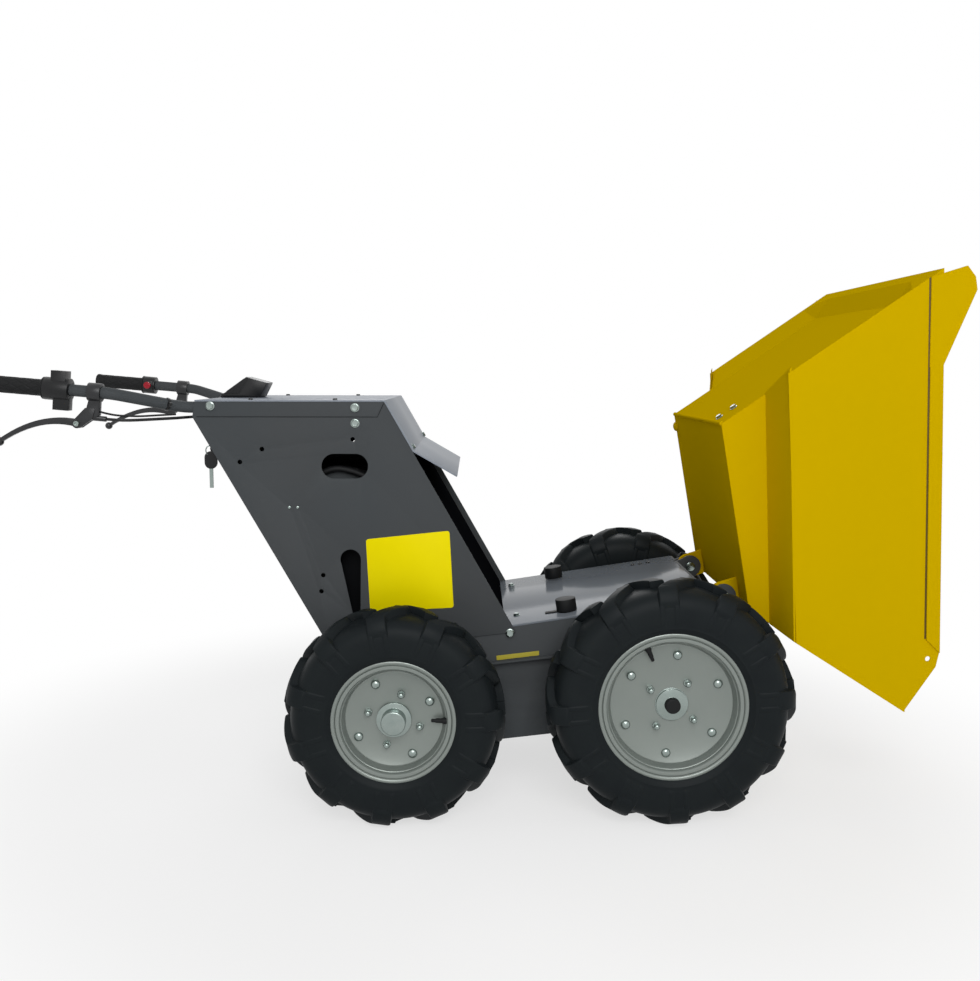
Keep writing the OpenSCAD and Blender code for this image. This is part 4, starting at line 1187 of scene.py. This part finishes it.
@dataclass
class Skip:
    """The tipping skip: its panels, the painted shadow lines along its rims and the bolts of its rear edge.

    Within the skip u counts forwards along the floor and v off it, from the pivot.
    """

    rig: Rig
    tip_deg: float = 80.0
    panels: tuple[str, ...] = (
        "floor", "front_wall", "rear_wall", "side_right", "side_left", "rim", "brackets",
    )
    floor_rear: float = 351.0
    floor_v: float = 32.5
    rear_lean: float = 24.5
    half_w: float = 317.0
    # Painted shadow strip under the rims' lower edge: its ends, width, lap and thickness
    shadow_rear: Pair = (-556.0, 431.2)
    shadow_front: Pair = (112.0, 337.7)
    shadow_w: float = 3.0
    shadow_lap: float = 0.5
    shadow_t: float = 0.8
    bolt_y: float = -165.0
    bolt_v: Pair = (47.0, 78.0)
    bolt_d: float = 12.0
    knob: Pair = (-322.0, 226.0)
    knob_d: float = 22.0

    def at(self, u: float, y: float, v: float) -> Vector:
        """A point of the skip in metres in the frame, from u, y to the left and v in millimetres."""
        turn = Matrix.Rotation(math.radians(self.tip_deg), 3, "Y")
        return self.rig.skip_pivot + turn @ Vector((u, y, v)) * MM

    def edge_shadows(self) -> None:
        """Painted shadow strip along the lower edge of both doubled rims."""
        shapes = []
        for side in Side:
            y = side.value * self.half_w
            ends = [self.shadow_rear, self.shadow_front]
            lower = [self.at(u, y, v - self.shadow_w) for u, v in ends]
            upper = [self.at(u, y, v + self.shadow_lap) for u, v in reversed(ends)]
            rise = Vector((0, side.value * self.shadow_t * MM, 0))
            shapes.append(slab([*lower, *upper], rise, 0.5 * MM))
        add_piece("rim_seams", combine(*shapes), RIM_EDGE_SHADOW, "skip")

    def bolts(self) -> None:
        """Bolts through the rear wall by the floor's rear edge, and the knob at the floor's corner."""
        lean = math.radians(self.rear_lean)
        facing = self.at(-math.cos(lean), 0, -math.sin(lean)) - self.at(0, 0, 0)
        spots = []
        for v in self.bolt_v:
            u = -self.floor_rear - (v - self.floor_v) * math.tan(lean)
            spots.append((self.at(u, self.bolt_y, v), tuple(facing / MM)))
        Fasteners("skip_bolts", "skip", Head.HEX_FLANGE, self.bolt_d, spots).build()
        under = tuple((self.at(0, 0, -1) - self.at(0, 0, 0)) / MM)
        corner = self.at(*self.knob, self.floor_v)
        Fasteners("skip_knob", "skip", Head.DOME, self.knob_d, [(corner, under)], SKIP_PAINT).build()

    def build(self) -> None:
        """Builds and dresses the skip."""
        for panel in self.panels:
            soften(self.rig, f"bin_{panel}", SKIP_PAINT, 0.9, 10.0)
        self.bolts()
        self.edge_shadows()


@dataclass
class Chassis:
    """Rails, belly, deck, axles and the parts bolted to them."""

    rig: Rig
    deck_front_x: float = 97.0
    deck_front_z: float = 420.0
    deck_slope_deg: float = 8.5
    rail_y: float = 223.0
    rear_bolts: Pair = (-285.0, 150.0)
    front_bolts_x: tuple[float, ...] = (2.0, 20.0, 38.0)
    front_bolts_y: float = 178.0
    bolt_d: float = 11.0
    screw_d: float = 9.0
    tab: tuple[float, float, float, float] = (-228.0, -203.0, -176.0, -164.0)
    tab_t: float = 3.0
    strip: tuple[Pair, ...] = ((-328, 299), (-243, 309), (-243, 300), (-327, 290))
    strip_round: float = 1.5
    vinyl_t: float = 0.7

    def on_deck(self, x: float, y: float) -> Vector:
        """A point of the deck's top in metres."""
        rise = (x - self.deck_front_x) * math.tan(math.radians(self.deck_slope_deg))
        return self.rig.at(x, y, self.deck_front_z + rise)

    def bolts(self) -> None:
        """Bolt heads on the deck."""
        slope = math.radians(self.deck_slope_deg)
        up = (-math.sin(slope), 0.0, math.cos(slope))
        large, small = [], []
        for side in Side:
            x, y = self.rear_bolts
            large.append((self.on_deck(x, side.value * y), up))
            small += [(self.on_deck(x, side.value * self.front_bolts_y), up) for x in self.front_bolts_x]
        Fasteners("deck_bolts", "chassis", Head.HEX_FLANGE, self.bolt_d, large).build()
        Fasteners("deck_screws", "chassis", Head.PAN, self.screw_d, small, LEVER_PAINT).build()

    def buffer_tab(self) -> None:
        """Flat rubber tab behind the right buffer."""
        x0, x1, y0, y1 = self.tab
        corners = [self.on_deck(x, y) for x, y in ((x0, y0), (x1, y0), (x1, y1), (x0, y1))]
        plate = slab(rounded(corners, 3 * MM), Vector((0, 0, self.tab_t * MM)), 0.8 * MM)
        add_piece("buffer_tab", plate, SOFT_RUBBER)

    def blank_strip(self) -> None:
        """Blank yellow strip on the right rail, above its flange."""
        corners = [self.rig.at(x, -self.rail_y, z) for x, z in self.strip]
        outline = rounded(corners, self.strip_round * MM)
        plate = slab(outline, Vector((0, -self.vinyl_t * MM, 0)), 0.3 * MM)
        add_piece("rail_strip", plate, STRIP_VINYL)

    def build(self) -> None:
        """Builds and dresses the chassis."""
        for node, finish, width in (
            ("chassis_rail_right", GREY_PAINT, 0.7),
            ("chassis_rail_left", GREY_PAINT, 0.7),
            ("belly_pan", GREY_PAINT, 0.7),
            ("front_crossmember", GREY_PAINT, 0.7),
            ("front_axle", GREY_PAINT, 0.7),
            ("rear_axle", GREY_PAINT, 0.7),
            # the deck's darker grey is painted reflection of dark surroundings
            ("deck", DECK_PAINT, 0.7),
            ("hinge_pins", ZINC, 0.7),
            ("bin_buffers", SOFT_RUBBER, 1.6),
            ("drive_unit", CAST_IRON, 3.0),
            ("battery_pack", BATTERY_CASE, 3.0),
        ):
            soften(self.rig, node, finish, width)
        self.bolts()
        self.buffer_tab()
        self.blank_strip()


@dataclass
class Console:
    """Slanted console with its cover, fasteners, blank sticker, display and key."""

    rig: Rig
    plate_y: float = 226.0
    bolts_at: tuple[Pair, ...] = ((-878, 792), (-601, 789), (-601, 759), (-301, 346))
    rivets_at: tuple[Pair, ...] = ((-730, 596), (-714, 596))
    screws_at: tuple[Pair, ...] = ((-805, 203), (-642, 203))
    bolt_d: float = 13.0
    rivet_d: float = 7.0
    screw_d: float = 9.0
    cover_top: float = 803.2
    cover_bolt: Point = (-491.5, 203.0, 712.0)
    cover_bolt_d: float = 10.0
    slant_deg: float = 29.5
    sticker: tuple[Pair, ...] = ((-583, 533), (-420, 550), (-412, 397), (-576, 389))
    sticker_round: float = 6.0
    vinyl_t: float = 0.7
    bezel: tuple[Pair, ...] = ((-899, 811.5), (-850, 846.5), (-843, 844), (-858, 811.5))
    bezel_half_w: float = 31.0
    glass_margin: float = 4.0
    key_y: float = -180.0
    key_blade_top: float = 667.0
    key_ring: Pair = (-893.0, 703.0)
    ring_reach: Point = (7.0, 2.0, 9.0)
    ring_wire_r: float = 1.1
    ring_steps: int = 28
    hose: tuple[Pair, ...] = (
        (-735, 618), (-680, 653), (-661, 664), (-641, 669), (-619, 666), (-593, 657), (-545, 632),
    )
    hose_y: float = -199.0
    hose_r: float = 6.0
    tray_foot: float = 600.6
    tray_y: Pair = (-191.0, -101.0)
    conduits_x: tuple[float, ...] = (-790.0, -700.0, -600.0, -545.0)
    conduits_y: float = 168.0
    conduits_z: tuple[float, ...] = (612.0, 636.0, 660.0, 684.0)
    conduit_r: float = 12.0
    # Painted shadow line under the cover's folded sides: its points and radius
    shadow_line: tuple[Pair, ...] = ((-905.0, 771.0), (-558.0, 771.0), (-546.0, 797.0))
    shadow_line_r: float = 0.6

    def fasteners(self) -> None:
        """Bolts and rivets on both side plates, screws on the cover's top, bolts at its bend."""
        slant = math.radians(self.slant_deg)
        ahead = (math.cos(slant), 0.0, math.sin(slant))
        bolts, rivets, screws, bend = [], [], [], []
        for side in Side:
            out = (0.0, float(side.value), 0.0)
            wall = side.value * self.plate_y
            bolts += [(self.rig.at(x, wall, z), out) for x, z in self.bolts_at]
            rivets += [(self.rig.at(x, wall, z), out) for x, z in self.rivets_at]
            tops = [self.rig.at(x, side.value * y, self.cover_top) for x, y in self.screws_at]
            screws += [(top, (0.0, 0.0, 1.0)) for top in tops]
            x, y, z = self.cover_bolt
            bend.append((self.rig.at(x, side.value * y, z), ahead))
        Fasteners("console_bolts", "chassis", Head.HEX_FLANGE, self.bolt_d, bolts).build()
        Fasteners("console_rivets", "chassis", Head.DOME, self.rivet_d, rivets).build()
        Fasteners("cover_screws", "chassis", Head.PAN, self.screw_d, screws, LEVER_PAINT).build()
        Fasteners("cover_bolts", "chassis", Head.HEX_FLANGE, self.cover_bolt_d, bend).build()

    def blank_sticker(self) -> None:
        """Blank square sticker on the right side plate."""
        corners = [self.rig.at(x, -self.plate_y, z) for x, z in self.sticker]
        outline = rounded(corners, self.sticker_round * MM)
        plate = slab(outline, Vector((0, -self.vinyl_t * MM, 0)), 0.4 * MM)
        add_piece("side_sticker", plate, YELLOW_VINYL)

    def screen(self) -> None:
        """Slanted bezel in front of the display, with its glass."""
        half = self.bezel_half_w
        side = [self.rig.at(x, -half, z) for x, z in self.bezel]
        add_piece("display_bezel", slab(side, Vector((0, 2 * half * MM, 0))), BLACK_PLASTIC)
        low, high = Vector(self.bezel[0]), Vector(self.bezel[1])
        out = Vector((low.y - high.y, high.x - low.x)).normalized()
        corners = []
        for share, y in ((0.1, -1), (0.1, 1), (0.9, 1), (0.9, -1)):
            x, z = low + (high - low) * share
            corners.append(self.rig.at(x, y * (half - self.glass_margin), z))
        plate = slab(rounded(corners, 3 * MM), Vector((out.x, 0, out.y)) * MM, 0.5 * MM)
        add_piece("display_screen", plate, DARK_GLASS)

    def key(self) -> None:
        """Key with a black bow and a zinc blade."""
        piece = soften(self.rig, "key_switch", BLACK_PLASTIC, 0.6)
        top = self.key_blade_top * MM
        with edited(piece.data) as shape:
            parts = [*shape.verts, *shape.edges, *shape.faces]
            bmesh.ops.bisect_plane(shape, geom=parts, plane_co=(0, 0, top), plane_no=(0, 0, 1))
        paint(piece, ZINC, lambda place: place.z < top)

    def inside(self) -> None:
        """Grey tray, arched hose and conduits that show through the hand slot."""
        near, far = self.tray_y
        foot = [(self.hose[0][0], self.tray_foot), (self.hose[-1][0], self.tray_foot)]
        outline = [self.rig.at(x, near, z) for x, z in (*foot, *reversed(self.hose))]
        add_piece("cable_tray", slab(outline, Vector((0, (far - near) * MM, 0)), 2 * MM), GREY_PAINT)
        knots = [self.rig.at(x, self.hose_y, z) for x, z in self.hose]
        hoses = [tube(smooth_line(knots), self.hose_r * MM, 12)]
        for z in self.conduits_z:
            line = [self.rig.at(x, self.conduits_y, z) for x in self.conduits_x]
            hoses.append(tube(line, self.conduit_r * MM, 14))
        add_piece("inner_hoses", combine(*hoses), SOFT_RUBBER)

    def edge_shadows(self) -> None:
        """Thin black line along the lower edge of the cover's folded sides: a painted shadow of the gap under
        them.
        """
        shapes = []
        for side in Side:
            ends = [self.rig.at(x, side.value * (self.plate_y + 0.1), z) for x, z in self.shadow_line]
            shapes += [tube(stretch, self.shadow_line_r * MM, 8) for stretch in zip(ends, ends[1:])]
        add_piece("cover_seams", combine(*shapes), SOFT_RUBBER)

    def ring(self) -> None:
        """Split ring through the key's bow."""
        x, z = self.key_ring
        along, lean, tall = self.ring_reach
        line = []
        for k in range(self.ring_steps):
            turn = math.tau * k / self.ring_steps
            c, s = math.cos(turn), math.sin(turn)
            line.append(self.rig.at(x + along * c, self.key_y + lean * c, z + tall * s))
        add_piece("key_ring", tube(line, self.ring_wire_r * MM, 8, closed=True), ZINC)

    def build(self) -> None:
        """Builds and dresses the console."""
        for node, finish, width in (
            ("console_side_right", GREY_PAINT, 0.5),
            ("console_side_left", GREY_PAINT, 0.5),
            ("console_rear_panel", GREY_PAINT, 0.5),
            # the front panel's near-black colour is painted shade in the recess
            ("console_front_panel", RECESS_SHADE_BLACK, 0.5),
            ("console_cover", COVER_PAINT, 0.7),
            ("display", BLACK_PLASTIC, 2.0),
        ):
            soften(self.rig, node, finish, width)
        self.key()
        self.inside()
        self.edge_shadows()
        self.fasteners()
        self.blank_sticker()
        self.screen()
        self.ring()


@dataclass
class Handlebars:
    """Handlebar tubes with grips, switch pods, levers, cables and ties.

    Along a grip, s counts outwards from the tube's bend.
    """

    rig: Rig
    bend_x: float = -1045.0
    bend_z: float = 816.6
    half_span: float = 290.0
    slope_deg: float = 4.8
    grip_start: float = 118.8
    grip_l: float = 113.0
    grip_r: float = 15.5
    flange_r: float = 20.5
    flange_t: float = 4.0
    lattice_turns: int = 7
    lattice_pitch: float = 26.0
    lattice_depth: float = 1.1
    lattice_groove: float = 0.38
    lever_pivot: Pair = (56.0, -60.0)
    perch_half: float = 9.3
    pivot_d: float = 11.0
    tie_from: Point = (-934.0, 212.0, 789.0)
    tie_share: float = 0.22
    tie_half_w: float = 2.6
    tie_head: Point = (5.0, 4.0, 3.5)
    tube_r: float = 11.0
    wire: tuple[Point, ...] = (
        (-1082, 290, 790), (-1066, 290, 783), (-1040, 290, 777), (-1018, 286, 775),
        (-997, 274, 774), (-970, 256, 775), (-942, 233, 776),
    )
    wire_r: float = 2.0

    def grip_frame(self, side: Side) -> Matrix:
        """Matrix of a grip: local Z outwards along it from the bend, local X down, in millimetres.

        Args:
            side: the grip's side.

        Returns:
            The matrix, to metres.
        """
        slope = math.radians(self.slope_deg)
        along = Vector((-math.cos(slope), 0, math.sin(slope)))
        down = Vector((-math.sin(slope), 0, -math.cos(slope)))
        turn = Matrix((down, along.cross(down), along)).transposed().to_4x4()
        place = Matrix.Translation(self.rig.at(self.bend_x, side.value * self.half_span, self.bend_z))
        return place @ turn @ Matrix.Scale(MM, 4)

    def grip(self) -> Shape:
        """One grip: a flange, a lattice of grooves round its length and a rounded end.

        Returns:
            Points along local Z in millimetres, and faces.
        """
        segments, steps = 84, 96
        start, end = self.grip_start, self.grip_start + self.grip_l
        body, collar, neck = self.grip_r, self.flange_r, start + self.flange_t
        low, high = neck + 3, end - 8
        rows = [(self.tube_r + 0.2, start), (collar - 1, start), (collar, start + 1), (collar, start + 3)]
        rows += [(collar - 1, neck), (body, neck)]
        first = len(rows)
        rows += [(body, low + (high - low) * i / steps) for i in range(steps + 1)]
        last = len(rows)
        rows += [(body + 0.6, high + 1), (body + 0.6, end - 2), (body - 1.4, end), (0.01, end)]
        verts, faces = turned(rows, segments)
        for index in range(first * segments, last * segments):
            x, y, z = verts[index]
            twist = self.lattice_turns * math.tau * (index % segments) / segments / 2
            climb = math.pi * (z - low) / self.lattice_pitch
            crossing = min(abs(math.sin(twist - climb)), abs(math.sin(twist + climb)))
            groove = max(0.0, 1 - crossing / self.lattice_groove) * min(1, (z - low) / 2, (high - z) / 2)
            scale = 1 - self.lattice_depth * max(groove, 0.0) / body
            verts[index] = Vector((x * scale, y * scale, z))
        return verts, faces

    def grips(self) -> None:
        """Both rubber grips in the CAD grips' place."""
        shapes = [moved(self.grip(), self.grip_frame(side)) for side in Side]
        add_piece("lattice_grips", combine(*shapes), SOFT_RUBBER, "chassis", "grips")

    def pivots(self) -> None:
        """Bolt heads on the levers' pivots."""
        spots = []
        s, drop_mm = self.lever_pivot
        for side in Side:
            place = self.grip_frame(side) @ Vector((-drop_mm, 0, s))
            place.y += side.value * self.perch_half * MM
            spots.append((place, (0.0, float(side.value), 0.0)))
        Fasteners("lever_pivots", "chassis", Head.PAN, self.pivot_d, spots).build()

    def ties(self) -> None:
        """Bands with a small head that hold the wires to both tubes."""
        shapes = []
        for side in Side:
            x, y, z = self.tie_from
            start = self.rig.at(x, side.value * y, z)
            ahead = self.rig.at(self.bend_x, side.value * self.half_span, self.bend_z) - start
            frame = upright(start + ahead * self.tie_share, ahead)
            r, half = self.tube_r, self.tie_half_w
            band = [(r - 0.5, -half), (r + 1.5, -half), (r + 1.9, 0), (r + 1.5, half), (r - 0.5, half)]
            shapes.append(moved(turned(band, 32, closed=True), frame))
            tall, b, c = self.tie_head
            corners = [Vector((r, y, z)) for y, z in ((-b, -c), (b, -c), (b, c), (-b, c))]
            shapes.append(moved(slab(corners, Vector((tall, 0, 0)), 1.0), frame))
        add_piece("wire_ties", combine(*shapes), BLACK_PLASTIC)

    def wires(self) -> None:
        """Switch wire that follows the brake cable on each side."""
        shapes = []
        for side in Side:
            knots = [self.rig.at(x, side.value * y, z) for x, y, z in self.wire]
            shapes.append(tube(smooth_line(knots), self.wire_r * MM, 8))
        add_piece("switch_wires", combine(*shapes), BLACK_PLASTIC)

    def build(self) -> None:
        """Builds and dresses the handlebars."""
        for node, finish, width in (
            ("handlebar_right", GREY_PAINT, 0.8),
            ("handlebar_left", GREY_PAINT, 0.8),
            ("switch_pod_right", BLACK_PLASTIC, 2.2),
            ("switch_pod_left", BLACK_PLASTIC, 2.2),
            ("stop_button", RED_PLASTIC, 0.8),
            ("brake_perches", LEVER_PAINT, 0.8),
            ("brake_levers", LEVER_PAINT, 0.8),
            ("brake_cables", BLACK_PLASTIC, 0.8),
        ):
            soften(self.rig, node, finish, width)
        self.grips()
        self.pivots()
        self.ties()
        self.wires()


FRONT_WHEEL: dict[str, Any] = {
    "lugs": 12, "lug_turn_deg": 4, "rim_r": 143, "rim_bolts": 6, "rim_bolt_circle": 190,
    "rim_bolt_deg": 24.5, "stud_deg": 55, "valve_deg": 114, "black_cap": True,
}
REAR_WHEEL: dict[str, Any] = {
    "lugs": 11, "lug_turn_deg": 1, "rim_r": 119, "rim_bolts": 4, "rim_bolt_circle": 150,
    "rim_bolt_deg": 27, "stud_deg": 74, "valve_deg": 0, "black_cap": False,
}


def write_sizes(rig: Rig) -> None:
    """Works out the CAD box and the dressed box, in metres, and discards them.

    Args:
        rig: the loaded frame, with the CAD box.
    """
    boxes = {"cad": rig.cad_box, "visual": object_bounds()}
    {name: [list(corner) for corner in box] for name, box in boxes.items()}


def main() -> None:
    """Builds the studio and every sub-assembly in order."""
    logging.basicConfig(level=logging.INFO, format="%(message)s")
    rig = Rig()
    Studio(rig).build()
    for side in Side:
        end = side.name.lower()
        Wheel(rig, f"front_{end}", side, **FRONT_WHEEL).build()
        Wheel(rig, f"rear_{end}", side, **REAR_WHEEL).build()
    Chassis(rig).build()
    Console(rig).build()
    Handlebars(rig).build()
    Skip(rig).build()
    write_sizes(rig)


if __name__ == "__main__":
    main()
